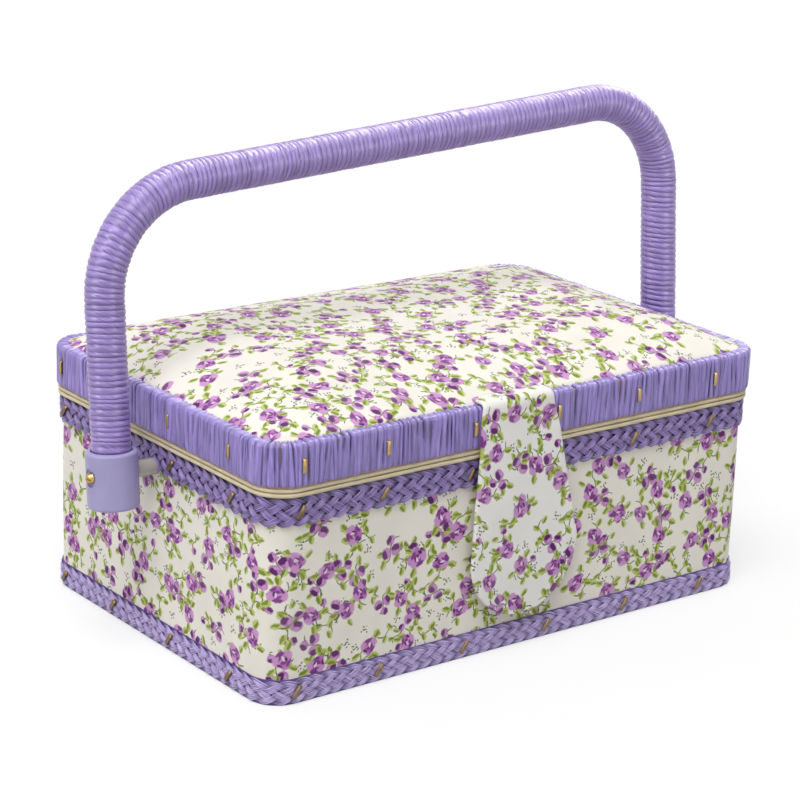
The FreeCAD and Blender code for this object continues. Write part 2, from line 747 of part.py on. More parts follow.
def flap_outline(level_from, level_to):
    """The flap's front outline between two levels, as a prism that runs from front to back.

    The sides widen downwards to full width, and the end is one round arc. The whole outline
    leans to one side about its middle at the rim's top.
    """
    top, full = value("flap_top_width") / 2, value("flap_full_width") / 2
    length, straight = value("flap_length"), value("flap_length - flap_round_depth")
    deep = value("body_width")
    points = {
        "top_left": Vector(-top, deep, 0),
        "left": Vector(-full, deep, -straight),
        "tip": Vector(0, deep, -length),
        "right": Vector(full, deep, -straight),
        "top_right": Vector(top, deep, 0),
    }
    end = Part.Arc(points["left"], points["tip"], points["right"]).toShape()
    lid_margin = value("flap_thickness") * 2
    crest_left = points["top_left"] + Vector(0, 0, lid_margin)
    crest_right = points["top_right"] + Vector(0, 0, lid_margin)
    rest = [
        (points["right"], points["top_right"]),
        (points["top_right"], crest_right),
        (crest_right, crest_left),
        (crest_left, points["top_left"]),
        (points["top_left"], points["left"]),
    ]
    sides = [Part.LineSegment(*ends).toShape() for ends in rest]
    face = Part.Face(Part.Wire([end] + sides))
    prism = face.extrude(Vector(0, -2 * deep, 0))
    prism.rotate(Vector(), Vector(0, -1, 0), value("flap_lean"))
    prism.translate(Vector(value("flap_centre"), 0, value("rim_top")))
    span = value("body_length")
    corner = Vector(-span / 2, -deep, level_from)
    return prism.common(Part.makeBox(span, 2 * deep, level_to - level_from, corner))


def side_prism(edges):
    """A closed side outline, drawn front to back and up, carried along the whole length."""
    face = Part.Face(Part.Wire(edges))
    span = value("body_length")
    face.translate(Vector(-span / 2, 0, 0))
    return face.extrude(Vector(span, 0, 0))


def side_point(y, z):
    """A point of a side outline."""
    return Vector(0, y, z)


def make_flap_top():
    """The flap's fixed end: over the rim's top, round its edge and down its face."""
    thick, top, face = value("flap_thickness"), value("rim_top"), -value("rim_half_width")
    inner_end = -value("body_width / 2 + rim_back")
    foot = value("flap_axis_z + flap_thickness / 2 + flap_gap")
    small = value("rim_rounding")
    large = small + thick
    centre = side_point(face + small, top - small)
    diagonal = Vector(0, -math.sqrt(0.5), math.sqrt(0.5))
    up, out = Vector(0, 0, 1), Vector(0, -1, 0)
    corners = [
        side_point(inner_end, top),
        centre + up * small,
        centre + out * small,
        side_point(face, foot),
        side_point(face - thick, foot),
        centre + out * large,
        centre + up * large,
        side_point(inner_end, top + thick),
    ]
    edges = [
        Part.LineSegment(corners[0], corners[1]),
        Part.Arc(corners[1], centre + diagonal * small, corners[2]),
        Part.LineSegment(corners[2], corners[3]),
        Part.LineSegment(corners[3], corners[4]),
        Part.LineSegment(corners[4], corners[5]),
        Part.Arc(corners[5], centre + diagonal * large, corners[6]),
        Part.LineSegment(corners[6], corners[7]),
        Part.LineSegment(corners[7], corners[0]),
    ]
    strap = side_prism([edge.toShape() for edge in edges])
    return free_form("flap_top", strap.common(flap_outline(foot, top + 2 * thick)))


def flap_inner_face(level):
    """Where the hanging flap's inner face stands at a level, before its bow."""
    top, bottom = value("flap_axis_z"), value("rim_top - flap_length")
    share = (top - level) / (top - bottom)
    return value("flap_axis_y + flap_thickness / 2") + value("flap_draw_in") * share


def make_flap_tab(socket):
    """The flap's hanging part: a bowed strip drawn in towards the box, round about its fold line.

    The snap's socket is let into its back.
    """
    thick = value("flap_thickness")
    top, bottom = value("flap_axis_z"), value("rim_top - flap_length") - thick
    middle = (top + bottom) / 2
    bow = value("flap_bow")
    inner = [
        side_point(flap_inner_face(top), top),
        side_point(flap_inner_face(middle) - bow, middle),
        side_point(flap_inner_face(bottom), bottom),
    ]
    outer = [point - Vector(0, thick, 0) for point in inner]
    fold = side_point(value("flap_axis_y"), top + thick / 2)
    edges = [
        Part.Arc(*inner),
        Part.LineSegment(inner[2], outer[2]),
        Part.Arc(outer[2], outer[1], outer[0]),
        Part.Arc(outer[0], fold, inner[0]),
    ]
    strip = side_prism([edge.toShape() for edge in edges])
    tab = strip.common(flap_outline(bottom, top + thick))
    return free_form("flap_tab", tab.cut(socket.Shape))


def make_snap():
    """The magnetic snap: a disc on the box's cloth and a disc let into the back of the flap."""
    drop = value("rim_top - snap_height")
    x = value("flap_centre") + drop * math.tan(math.radians(value("flap_lean")))
    cloth = -value("body_width") / 2
    stud_face = cloth - value("snap_thickness")
    socket_face = stud_face - value("snap_gap")
    radius, level = value("snap_radius"), value("snap_height")
    back = flap_inner_face(level) - value("flap_bow + snap_bed")
    forward = Vector(0, -1, 0)
    stud = Part.makeCylinder(radius, cloth - stud_face, Vector(x, cloth, level), forward)
    socket = Part.makeCylinder(radius, socket_face - back, Vector(x, socket_face, level), forward)
    return [free_form("snap_stud", stud), free_form("snap_socket", socket)]


# Staples


def staple_row(side_length, corner, blocked):
    """Places along one side, evenly spaced, shifted and kept off its ends and what is fixed there."""
    pitch, shift = value("staple_pitch"), value("staple_shift")
    end = side_length / 2 - corner
    count = int(2 * end / pitch)
    places = [max(-end, min(end, (i - count / 2) * pitch + shift)) for i in range(count + 1)]
    room = value("staple_room")
    return [p for p in places if all(abs(p - at) > half + room for at, half in blocked)]


def staples(name, offset, level, tilt, blocked):
    """Staples round a band: small bars on its face, each turned by the tilt.

    Blocked gives what keeps places free on the front, right, back and left sides, as a middle
    and a half width along that side.
    """
    long, wide, thick = (value(f"staple_{part}") for part in ("length", "width", "thickness"))
    x, y = value("body_length") / 2 + offset, value("body_width") / 2 + offset
    corner = value("body_corner") + offset
    bars = []
    for turn, (reach, half_side) in enumerate([(y, x), (x, y), (y, x), (x, y)]):
        for place in staple_row(2 * half_side, corner, blocked[turn]):
            bar = Part.makeBox(wide, thick, long, Vector(-wide / 2, -thick, -long / 2))
            bar.rotate(Vector(), Vector(0, 1, 0), tilt)
            bar.translate(Vector(place, -reach, level))
            bar.rotate(Vector(), Vector(0, 0, 1), 90 * turn)
            bars.append(bar)
    return free_form(name, Part.makeCompound(bars))


def make_staples():
    """The staples that hold the rim's winding and both braids."""
    hinge = [(side * value("hinge_spacing") / 2, value("hinge_width") / 2) for side in (-1, 1)]
    flap = [(value("flap_centre"), value("flap_top_width") / 2)]
    sleeve = value("sleeve_radius + staple_length / 2")
    pivot = [(0, sleeve)]
    rim_level = value("lid_level + rim_height / 2")
    top_level = value("top_braid_level + top_braid_height / 2")
    base_level = value("base_braid_lift + base_braid_height / 2")
    rim, braid, tilt = value("rim_overhang"), value("braid_thickness"), value("staple_tilt")
    return [
        staples("rim_staples", rim, rim_level, 0, [flap, [], hinge, []]),
        staples("top_braid_staples", braid, top_level, tilt, [[], pivot, hinge, pivot]),
        staples("base_braid_staples", braid, base_level, tilt, [[], [], [], []]),
    ]


def check(nodes):
    """Stops the build if an object failed or a node's shape is missing or broken."""
    doc.recompute()
    for thing in doc.Objects:
        if {"Invalid", "Error"} & set(thing.State):
            raise RuntimeError(f"{thing.Label} failed: {thing.State}")
    for node in nodes:
        if node.Shape.isNull() or not node.Shape.isValid() or not node.Shape.Solids:
            raise RuntimeError(f"{node.Label} has no valid solid")


def main():
    """Builds every piece, checks it and writes one file for each."""
    fill_sheet()
    core = make_core()
    nodes = make_box() + make_lid() + make_hinges() + make_pivots()
    nodes += [core, make_cup("left_cup", "-handle_half"), make_cup("right_cup", "handle_half")]
    stud, socket = make_snap()
    nodes += [make_winding(core), make_flap_top(), make_flap_tab(socket), stud, socket]
    nodes += make_staples()
    check(nodes)
    os.makedirs("parts", exist_ok=True)
    for node in nodes:
        node.Shape.exportStep(f"parts/{node.Label}.step")
        solids = len(node.Shape.Solids)
        print(f"{node.Label}: {solids} solid(s), {node.Shape.Volume / 1000:.3f} cm3")


main()
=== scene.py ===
"""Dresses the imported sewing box: printed cloth, plaits, wound strips, piping, brass and a pale studio."""

from __future__ import annotations

import functools
import logging
import math
from abc import ABC, abstractmethod
from dataclasses import dataclass
from enum import Enum
from typing import Sequence

import bpy
import numpy as np
from mathutils import Matrix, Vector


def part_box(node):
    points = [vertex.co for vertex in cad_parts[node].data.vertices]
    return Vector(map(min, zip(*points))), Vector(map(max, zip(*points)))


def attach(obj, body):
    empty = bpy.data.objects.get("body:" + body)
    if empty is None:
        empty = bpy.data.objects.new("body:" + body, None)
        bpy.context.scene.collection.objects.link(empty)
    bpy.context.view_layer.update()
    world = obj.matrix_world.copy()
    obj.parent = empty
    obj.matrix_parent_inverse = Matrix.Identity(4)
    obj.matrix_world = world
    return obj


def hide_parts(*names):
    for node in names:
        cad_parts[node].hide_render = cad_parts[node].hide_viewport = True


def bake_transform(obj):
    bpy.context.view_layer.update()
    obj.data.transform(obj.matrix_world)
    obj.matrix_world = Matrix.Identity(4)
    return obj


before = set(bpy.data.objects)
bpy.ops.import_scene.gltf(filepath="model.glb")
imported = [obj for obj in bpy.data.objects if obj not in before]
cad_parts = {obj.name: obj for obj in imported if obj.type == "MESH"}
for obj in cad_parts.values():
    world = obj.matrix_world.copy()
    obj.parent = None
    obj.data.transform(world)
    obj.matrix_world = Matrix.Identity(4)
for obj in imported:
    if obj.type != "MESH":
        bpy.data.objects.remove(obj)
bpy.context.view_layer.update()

MM = 0.001
CHART = "chart"

# Points on a section's rounded corner, and sections round the box on faces and on what backs or lines them
CORNER_POINTS = 6
RING_COLUMNS = 420
BACKING_COLUMNS = 360

WHITE = (1.0, 1.0, 1.0, 1.0)
log = logging.getLogger("sewing_box")

Colour = tuple[float, float, float]
Spans = tuple[tuple[float, float], ...]

# Middle and half length of what is fixed on a side, in millimetres
HINGES: Spans = ((-70.0, 12.0), (70.0, 12.0))
PIVOT: Spans = ((0.0, 6.15),)
FLAP_END: Spans = ((-9.5, 17.5),)


class Body(Enum):
    """The bodies that pieces move with."""

    BOX = "box"
    LID = "lid"
    FLAP = "flap"
    HANDLE = "handle"


class Slot(Enum):
    """The record's material slots that new pieces take their finish from."""

    CLOTH = "printed_cloth"
    LINING = "lining_cloth"
    STRIP = "lilac_strip"
    WELT = "cream_welt"
    BRASS = "brass"


def srgb(red: float, green: float, blue: float) -> Colour:
    """Turns a screen colour, 0 to 255, into a linear one.

    Args:
        red: Red part.
        green: Green part.
        blue: Blue part.

    Returns:
        The linear colour, each part raised by the screen's own curve.
    """
    parts = np.array([red, green, blue]) / 255
    linear = np.where(parts > 0.04045, ((parts + 0.055) / 1.055) ** 2.4, parts / 12.92)
    return tuple(float(part) for part in linear)


def smooth_step(share: np.ndarray) -> np.ndarray:
    """Goes from 0 to 1 with level ends: 3 t squared less 2 t cubed, held outside 0 to 1.

    Args:
        share: The places t.

    Returns:
        The stepped values.
    """
    held = np.clip(share, 0, 1)
    return held * held * (3 - 2 * held)


@dataclass(frozen=True)
class Plan:
    """The box's rounded outline seen from above, on the cloth's outer face, in millimetres."""

    length: float = 244.0
    width: float = 159.0
    corner: float = 12.0

    @property
    def around(self) -> float:
        """The outline's length."""
        return float(self.knots()[0][-1])

    def knots(self) -> tuple[np.ndarray, np.ndarray, np.ndarray, np.ndarray]:
        """Lays out the outline from the middle of the back, leftwards round the box.

        Returns:
            The run, the outward angle and the corner centre's x and y where each line or arc ends.
        """
        half, deep = self.length / 2 - self.corner, self.width / 2 - self.corner
        bend = math.pi / 2 * self.corner
        legs = [half, bend, 2 * deep, bend, 2 * half, bend, 2 * deep, bend, half]
        runs = np.concatenate([[0.0], np.cumsum(legs)])
        angles = np.repeat(np.arange(1, 6), 2) * math.pi / 2
        across = half * np.array([0, -1, -1, -1, -1, 1, 1, 1, 1, 0])
        along = deep * np.array([1, 1, 1, -1, -1, -1, -1, 1, 1, 1])
        return runs, angles, across, along

    def place(self, run: np.ndarray, offset: np.ndarray, height: np.ndarray) -> np.ndarray:
        """Puts points round the outline: the corner centre plus radius and offset along the outward angle.

        Args:
            run: How far round each point is.
            offset: How far outside the cloth's face it is.
            height: Its level.

        Returns:
            The points, with x, y and z last.
        """
        runs, angles, across, along = self.knots()
        where = np.mod(run, runs[-1])
        angle = np.interp(where, runs, angles)
        x = np.interp(where, runs, across) + (self.corner + offset) * np.cos(angle)
        y = np.interp(where, runs, along) + (self.corner + offset) * np.sin(angle)
        return np.stack(np.broadcast_arrays(x, y, height), axis=-1)


def rounded_section(
    low: Sequence[float], high: Sequence[float], bend: float, straight: int = 4
) -> np.ndarray:
    """Traces a rectangle with four quarter-round corners, outwards first, as a closed loop.

    Args:
        low: Lowest offset and height.
        high: Highest offset and height.
        bend: The corners' radius.
        straight: How many points stand between two corners.

    Returns:
        The loop's points, offset and height last.
    """
    turn = np.linspace(0, math.pi / 2, CORNER_POINTS)
    near, far = np.array(low) + bend, np.array(high) - bend
    centres = [(far[0], near[1]), (far[0], far[1]), (near[0], far[1]), (near[0], near[1])]
    arcs = [
        np.array(centre) + bend * np.stack([np.cos(angle), np.sin(angle)], axis=-1)
        for centre, angle in zip(centres, [turn + (i - 1) * math.pi / 2 for i in range(4)])
    ]
    shares = np.linspace(0, 1, straight + 2)[1:-1, None]
    runs = [arc[-1] * (1 - shares) + nxt[0] * shares for arc, nxt in zip(arcs, arcs[1:] + arcs[:1])]
    return np.concatenate([part for pair in zip(arcs, runs) for part in pair])


def loop_normals(loop: np.ndarray) -> np.ndarray:
    """Gives the outward directions of a closed loop traced with its inside on the left.

    Args:
        loop: The loop's points.

    Returns:
        Unit vectors: the step between each point's neighbours, turned a quarter to the right.
    """
    step = np.roll(loop, -1, axis=0) - np.roll(loop, 1, axis=0)
    out = np.stack([step[:, 1], -step[:, 0]], axis=-1)
    return out / np.linalg.norm(out, axis=1, keepdims=True)


def loop_lengths(loop: np.ndarray) -> np.ndarray:
    """Adds up a closed loop's steps.

    Args:
        loop: The loop's points.

    Returns:
        The length at each point and, last, all the way round.
    """
    steps = np.linalg.norm(np.roll(loop, -1, axis=0) - loop, axis=1)
    return np.concatenate([[0.0], np.cumsum(steps)])


@dataclass
class Surface:
    """A grid of points in millimetres with a flat chart of the cloth or strip it is made of.

    The chart has one more row or column than the points where the grid closes on itself.
    """

    points: np.ndarray
    chart: np.ndarray
    tone: np.ndarray | None = None
    # How much painted shade each point takes in grooves and gaps, 0 to 1
    groove: np.ndarray | None = None
    loop_rows: bool = False
    loop_columns: bool = True
    capped: bool = False

    def faces(self) -> tuple[np.ndarray, np.ndarray]:
        """Joins each point to its neighbours in the next row and column.

        Returns:
            The four-sided faces' point numbers, and the chart at their corners, turned outwards.
        """
        rows, columns = self.points.shape[:2]
        row = np.arange(rows if self.loop_rows else rows - 1)[:, None]
        column = np.arange(columns if self.loop_columns else columns - 1)[None, :]
        steps = [(0, 0), (0, 1), (1, 1), (1, 0)]
        corners = [((row + i) % rows) * columns + (column + j) % columns for i, j in steps]
        charts = [self.chart[row + i, column + j] for i, j in steps]
        quads = np.stack(corners, axis=-1).reshape(-1, 4)
        return quads, np.stack(charts, axis=-2).reshape(-1, 4, 2)

    def caps(self) -> tuple[np.ndarray, np.ndarray]:
        """Closes the first and last rows.

        Returns:
            Two faces' point numbers, and the chart at their corners.
        """
        rows, columns = self.points.shape[:2]
        first, last = np.arange(columns)[::-1], np.arange(columns)
        ends = np.stack([first, (rows - 1) * columns + last])
        return ends, np.stack([self.chart[0, first], self.chart[rows - 1, last]])

    def inside_out(self) -> bool:
        """Tells whether the faces point inwards, by the sign of the volume that they enclose."""
        flat = self.points.reshape(-1, 3) - self.points.reshape(-1, 3).mean(axis=0)
        a, b, c, d = (flat[corner] for corner in self.faces()[0].T)
        return float((np.cross(b, c) * a).sum() + (np.cross(c, d) * a).sum()) < 0


def show(mesh: bpy.types.Mesh, chart: np.ndarray) -> bpy.types.Object:
    """Smooths a mesh, charts it and puts it into the scene at the origin, under its own name.

    Args:
        mesh: The mesh.
        chart: The chart at the corners of its faces, in order.

    Returns:
        The object.
    """
    mesh.polygons.foreach_set("use_smooth", np.ones(len(mesh.polygons), bool))
    mesh.uv_layers.new(name=CHART).uv.foreach_set("vector", chart.ravel())
    mesh.validate()
    thing = bpy.data.objects.new(mesh.name, mesh)
    bpy.context.scene.collection.objects.link(thing)
    return thing


def join(name: str, surfaces: Sequence[Surface]) -> bpy.types.Object:
    """Makes one mesh object of one or more surfaces, in metres.

    Args:
        name: The object's name.
        surfaces: The surfaces.

    Returns:
        The object, at the origin.
    """
    corners, charts, counts = [], [], []
    first = 0
    for surface in surfaces:
        parts = [surface.faces()] + ([surface.caps()] if surface.capped else [])
        turn = -1 if surface.inside_out() else 1
        for numbers, chart in parts:
            corners.append((numbers[:, ::turn] + first).ravel())
            charts.append(chart[:, ::turn].reshape(-1, 2))
            counts.append(np.full(len(numbers), numbers.shape[1]))
        first += surface.points.shape[0] * surface.points.shape[1]
    counted = np.concatenate(counts)
    mesh = bpy.data.meshes.new(name)
    mesh.vertices.add(first)
    flat = np.concatenate([surface.points.reshape(-1, 3) for surface in surfaces]) * MM
    mesh.vertices.foreach_set("co", flat.ravel())
    mesh.loops.add(int(counted.sum()))
    mesh.loops.foreach_set("vertex_index", np.concatenate(corners))
    mesh.polygons.add(len(counted))
    mesh.polygons.foreach_set("loop_start", np.concatenate([[0], np.cumsum(counted)[:-1]]))
    mesh.update(calc_edges=True)
    # The groove mark carries painted shade
    for label in ("tone", "groove"):
        fields = [getattr(surface, label) for surface in surfaces]
        if all(field is not None for field in fields):
            mark = mesh.attributes.new(label, "FLOAT", "POINT")
            mark.data.foreach_set("value", np.concatenate([field.ravel() for field in fields]))
    return show(mesh, np.concatenate(charts))


class Field:
    """A value or colour that a node gives, which adds and multiplies like a number."""

    def __init__(self, net: Net, socket: bpy.types.NodeSocket) -> None:
        """Keeps the node's output socket and the net that it is in."""
        self.net, self.socket = net, socket

    def __add__(self, other: Field | float) -> Field:
        """Adds."""
        return self.net.math("ADD", self, other)

    def __sub__(self, other: Field | float) -> Field:
        """Takes away."""
        return self.net.math("SUBTRACT", self, other)

    def __mul__(self, other: Field | float) -> Field:
        """Multiplies."""
        return self.net.math("MULTIPLY", self, other)


class Net:
    """A material's nodes, round one main shader."""

    def __init__(self, name: str) -> None:
        """Starts a material of that name with a shader joined to its output."""
        self.material = bpy.data.materials.new(name)
        self.material.use_nodes = True
        self.tree = self.material.node_tree
        self.tree.nodes.clear()
        self.shader = self.add("ShaderNodeBsdfPrincipled")
        self.output = self.add("ShaderNodeOutputMaterial")
        self.tree.links.new(self.shader.outputs["BSDF"], self.output.inputs["Surface"])

    def add(self, kind: str, **settings: object) -> bpy.types.Node:
        """Adds a node.

        Args:
            kind: The node's type.
            **settings: Its options.

        Returns:
            The node.
        """
        node = self.tree.nodes.new(kind)
        for label, value in settings.items():
            setattr(node, label, value)
        return node

    def feed(self, socket: bpy.types.NodeSocket, value: object) -> None:
        """Joins a field to a socket, or sets the socket's own value.

        Args:
            socket: The socket.
            value: The field, number, vector or colour.
        """
        if isinstance(value, Field):
            self.tree.links.new(value.socket, socket)
        elif socket.type == "RGBA":
            socket.default_value = (*value, 1.0)
        else:
            socket.default_value = value

    def surface(self, **values: object) -> None:
        """Sets the shader's sockets, with underscores for the spaces in their names."""
        for label, value in values.items():
            self.feed(self.shader.inputs[label.replace("_", " ")], value)

    def math(self, operation: str, *values: Field | float) -> Field:
        """Works out one operation on values.

        Args:
            operation: The operation.
            *values: Fields or numbers.

        Returns:
            The result.
        """
        node = self.add("ShaderNodeMath", operation=operation)
        for socket, value in zip(node.inputs, values):
            self.feed(socket, value)
        return Field(self, node.outputs[0])

    def vector(self, operation: str, *values: object) -> Field:
        """Works out one operation on vectors.

        Args:
            operation: The operation.
            *values: Fields or vectors.

        Returns:
            A vector, or a value for a length.
        """
        node = self.add("ShaderNodeVectorMath", operation=operation)
        for socket, value in zip(node.inputs, values):
            self.feed(socket, value)
        return Field(self, node.outputs["Value" if operation == "LENGTH" else "Vector"])

    def mapping(self, where: Field, kind: str = "POINT", **values: Sequence[float]) -> Field:
        """Moves, turns and scales coordinates.

        Args:
            where: The coordinates.
            kind: POINT to transform them, or TEXTURE to transform them back.
            **values: Location, Rotation and Scale.

        Returns:
            The new coordinates.
        """
        node = self.add("ShaderNodeMapping", vector_type=kind)
        self.feed(node.inputs["Vector"], where)
        for label, value in values.items():
            node.inputs[label].default_value = value
        return Field(self, node.outputs["Vector"])

    def smooth(self, value: Field, start: float, end: float) -> Field:
        """Steps smoothly from 0 to 1, in either direction.

        Args:
            value: What is stepped.
            start: Where the step is 0.
            end: Where it is 1.

        Returns:
            The stepped value.
        """
        node = self.add("ShaderNodeMapRange", interpolation_type="SMOOTHSTEP")
        for socket, part in zip(node.inputs, (value, start, end)):
            self.feed(socket, part)
        return Field(self, node.outputs["Result"])

    def mix(self, share: Field, ground: Field | Colour, cover: Field | Colour) -> Field:
        """Mixes two colours.

        Args:
            share: How much of the cover shows.
            ground: The colour below.
            cover: The colour above.

        Returns:
            The mixed colour.
        """
        node = self.add("ShaderNodeMix", data_type="RGBA")
        share_at, ground_at, cover_at, colour_at = 0, 6, 7, 2
        for number, part in ((share_at, share), (ground_at, ground), (cover_at, cover)):
            self.feed(node.inputs[number], part)
        return Field(self, node.outputs[colour_at])

    def noise(self, where: Field, scale: float, detail: float = 2.0, output: str = "Fac") -> Field:
        """Gives soft noise.

        Args:
            where: The coordinates.
            scale: How many bumps there are to a unit.
            detail: How many finer layers lie over them.
            output: Fac for a value, Color for a colour.

        Returns:
            The noise.
        """
        node = self.add("ShaderNodeTexNoise")
        self.feed(node.inputs["Vector"], where)
        node.inputs["Scale"].default_value = scale
        node.inputs["Detail"].default_value = detail
        return Field(self, node.outputs[output])

    def parts(self, vector: Field) -> tuple[Field, Field, Field]:
        """Takes a vector or a colour apart.

        Args:
            vector: The vector or colour.

        Returns:
            Its three parts.
        """
        node = self.add("ShaderNodeSeparateXYZ")
        self.feed(node.inputs[0], vector)
        return tuple(Field(self, socket) for socket in node.outputs)

    def chart(self) -> Field:
        """The piece's own flat chart, in millimetres."""
        return Field(self, self.add("ShaderNodeUVMap", uv_map=CHART).outputs["UV"])

    def place(self) -> Field:
        """The object's own coordinates, in metres."""
        return Field(self, self.add("ShaderNodeTexCoord").outputs["Object"])

    def mark(self, label: str) -> Field:
        """One of the piece's own marks: tone, or groove for painted shade."""
        return Field(self, self.add("ShaderNodeAttribute", attribute_name=label).outputs["Fac"])

    def relief(self, height: Field, distance: float, strength: float = 1.0) -> None:
        """Gives the shader a relief.

        Args:
            height: The relief's height, 0 to 1.
            distance: Its depth in metres.
            strength: How much of it shows.
        """
        node = self.add("ShaderNodeBump")
        node.inputs["Strength"].default_value = strength
        node.inputs["Distance"].default_value = distance
        self.feed(node.inputs["Height"], height)
        self.tree.links.new(node.outputs["Normal"], self.shader.inputs["Normal"])


class Finish(ABC):
    """What a surface looks like."""

    @abstractmethod
    def dress(self, net: Net) -> None:
        """Lays the finish's nodes round a net's shader."""


@functools.cache
def material_of(finish: Finish) -> bpy.types.Material:
    """Makes a finish's material once.

    Args:
        finish: The finish.

    Returns:
        The material.
    """
    net = Net(type(finish).__name__ + "_" + str(getattr(finish, "label", "plain")))
    finish.dress(net)
    return net.material


class Paint(Enum):
    """The print's colours."""

    LEAF = srgb(188, 202, 100)
    LEAF_DARK = srgb(122, 140, 50)
    STEM = srgb(104, 116, 78)
    SPECK = srgb(104, 118, 88)
    MAUVE = srgb(190, 120, 190)
    PINK = srgb(212, 156, 210)
    PALE = srgb(246, 226, 240)
    PLUM = srgb(130, 58, 138)
    DEEP = srgb(88, 26, 98)


@dataclass(frozen=True)
class Dab:
    """One brush mark of a motif: its middle, half sizes in millimetres, turn in degrees and paint."""

    x: float
    y: float
    wide: float
    high: float
    turn: float
    paint: Paint


@dataclass(frozen=True)
class Spray:
    """A motif that is strewn over the cloth: marks about a middle, one in each cell of a loose net."""

    pitch: float
    turn: float
    shift: float
    shown: float
    stem: tuple[float, float]
    dabs: tuple[Dab, ...]


def leaf(x: float, y: float, turn: float, size: float = 1.0) -> tuple[Dab, ...]:
    """A leaf with a darker half.

    Args:
        x: Its middle.
        y: Its middle.
        turn: Its turn in degrees.
        size: Its size, where 1 is about 5 mm long.

    Returns:
        Its marks.
    """
    lean = math.radians(turn)
    shade = (x + 0.45 * size * math.sin(lean), y - 0.45 * size * math.cos(lean))
    return (
        Dab(x, y, 2.6 * size, 1.6 * size, turn, Paint.LEAF),
        Dab(*shade, 2.0 * size, 0.75 * size, turn, Paint.LEAF_DARK),
    )


def bud(x: float, y: float, turn: float, size: float = 1.0) -> tuple[Dab, ...]:
    """A bud with a deep half, a mauve half and a pale streak.

    Args:
        x: Its middle.
        y: Its middle.
        turn: Its turn in degrees.
        size: Its size, where 1 is about 6 mm long.

    Returns:
        Its marks.
    """
    lean = math.radians(turn)
    across = np.array([-math.sin(lean), math.cos(lean)]) * size
    return (
        Dab(x, y, 2.9 * size, 2.6 * size, turn, Paint.MAUVE),
        Dab(x + 1.0 * across[0], y + 1.0 * across[1], 2.3 * size, 1.55 * size, turn - 14, Paint.DEEP),
        Dab(x - 1.2 * across[0], y - 1.2 * across[1], 1.5 * size, 0.8 * size, turn + 20, Paint.PINK),
    )


def rose(x: float, y: float, size: float = 1.0) -> tuple[Dab, ...]:
    """A small open rose: round petals, dark folds between them and a pale heart.

    Args:
        x: Its middle.
        y: Its middle.
        size: Its size, where 1 is about 10 mm across.

    Returns:
        Its marks.
    """
    marks = [
        (0.0, 0.0, 4.3, 4.0, 0, Paint.MAUVE),
        (-2.6, 2.0, 2.3, 1.9, 40, Paint.PINK),
        (2.7, 1.7, 2.4, 1.9, -35, Paint.MAUVE),
        (0.9, -2.9, 2.9, 1.8, 15, Paint.PINK),
        (-2.5, -1.7, 2.2, 1.1, -50, Paint.PLUM),
        (1.6, 2.8, 1.9, 0.8, -20, Paint.PLUM),
        (3.1, -0.8, 1.4, 0.7, 70, Paint.DEEP),
        (0.1, 0.1, 2.3, 2.0, 20, Paint.PLUM),
        (-0.5, 0.5, 1.5, 0.8, 35, Paint.PALE),
        (0.7, -0.8, 1.3, 0.6, -30, Paint.PINK),
        (-0.3, 1.4, 1.4, 0.5, 15, Paint.DEEP),
    ]
    return tuple(
        Dab(x + size * dx, y + size * dy, size * wide, size * high, turn, paint)
        for dx, dy, wide, high, turn, paint in marks
    )


SPECKS = Spray(7.5, 0.5, 211.0, 0.42, (1.1, 0.3), (
    Dab(-1.2, 0.9, 0.5, 0.38, 35, Paint.SPECK), Dab(0.9, -1.1, 0.55, 0.36, -40, Paint.SPECK),
    Dab(1.5, 0.9, 0.42, 0.4, 0, Paint.SPECK), Dab(-0.4, -1.7, 0.4, 0.3, 60, Paint.SPECK),
))
SPRAYS = (
    SPECKS,
    Spray(16.5, 0.35, 3.1, 0.7, (5.2, 1.5), (
        *leaf(-4.7, 1.3, 150, 0.75), *leaf(-1.6, -2.0, -60, 0.85), *leaf(1.7, 2.6, 60, 0.8),
        *leaf(4.7, -1.6, -35, 0.75),
    )),
    Spray(15.0, 1.25, 37.7, 0.55, (4.0, -1.0), (
        *leaf(-2.8, 1.8, 125, 0.7), *leaf(0.8, -2.2, -55, 0.8), *bud(4.0, 0.2, 10, 0.6),
    )),
    Spray(18.0, 0.8, 71.3, 0.84, (6.0, 1.7), (
        *leaf(-5.8, -0.4, 195, 0.85), *leaf(-3.7, 3.3, 125, 0.72), *bud(-1.9, 1.1, 65, 0.8),
        *bud(1.7, -2.0, -25, 0.85), *bud(2.9, 2.5, 20, 0.7),
    )),
    Spray(17.5, 2.1, 113.9, 0.88, (6.4, -1.9), (
        *leaf(-5.8, 1.4, 165, 0.9), *leaf(5.1, -3.3, -40, 0.85), *leaf(3.0, 5.1, 75, 0.76),
        *rose(-0.3, 0.2, 0.8),
    )),
)


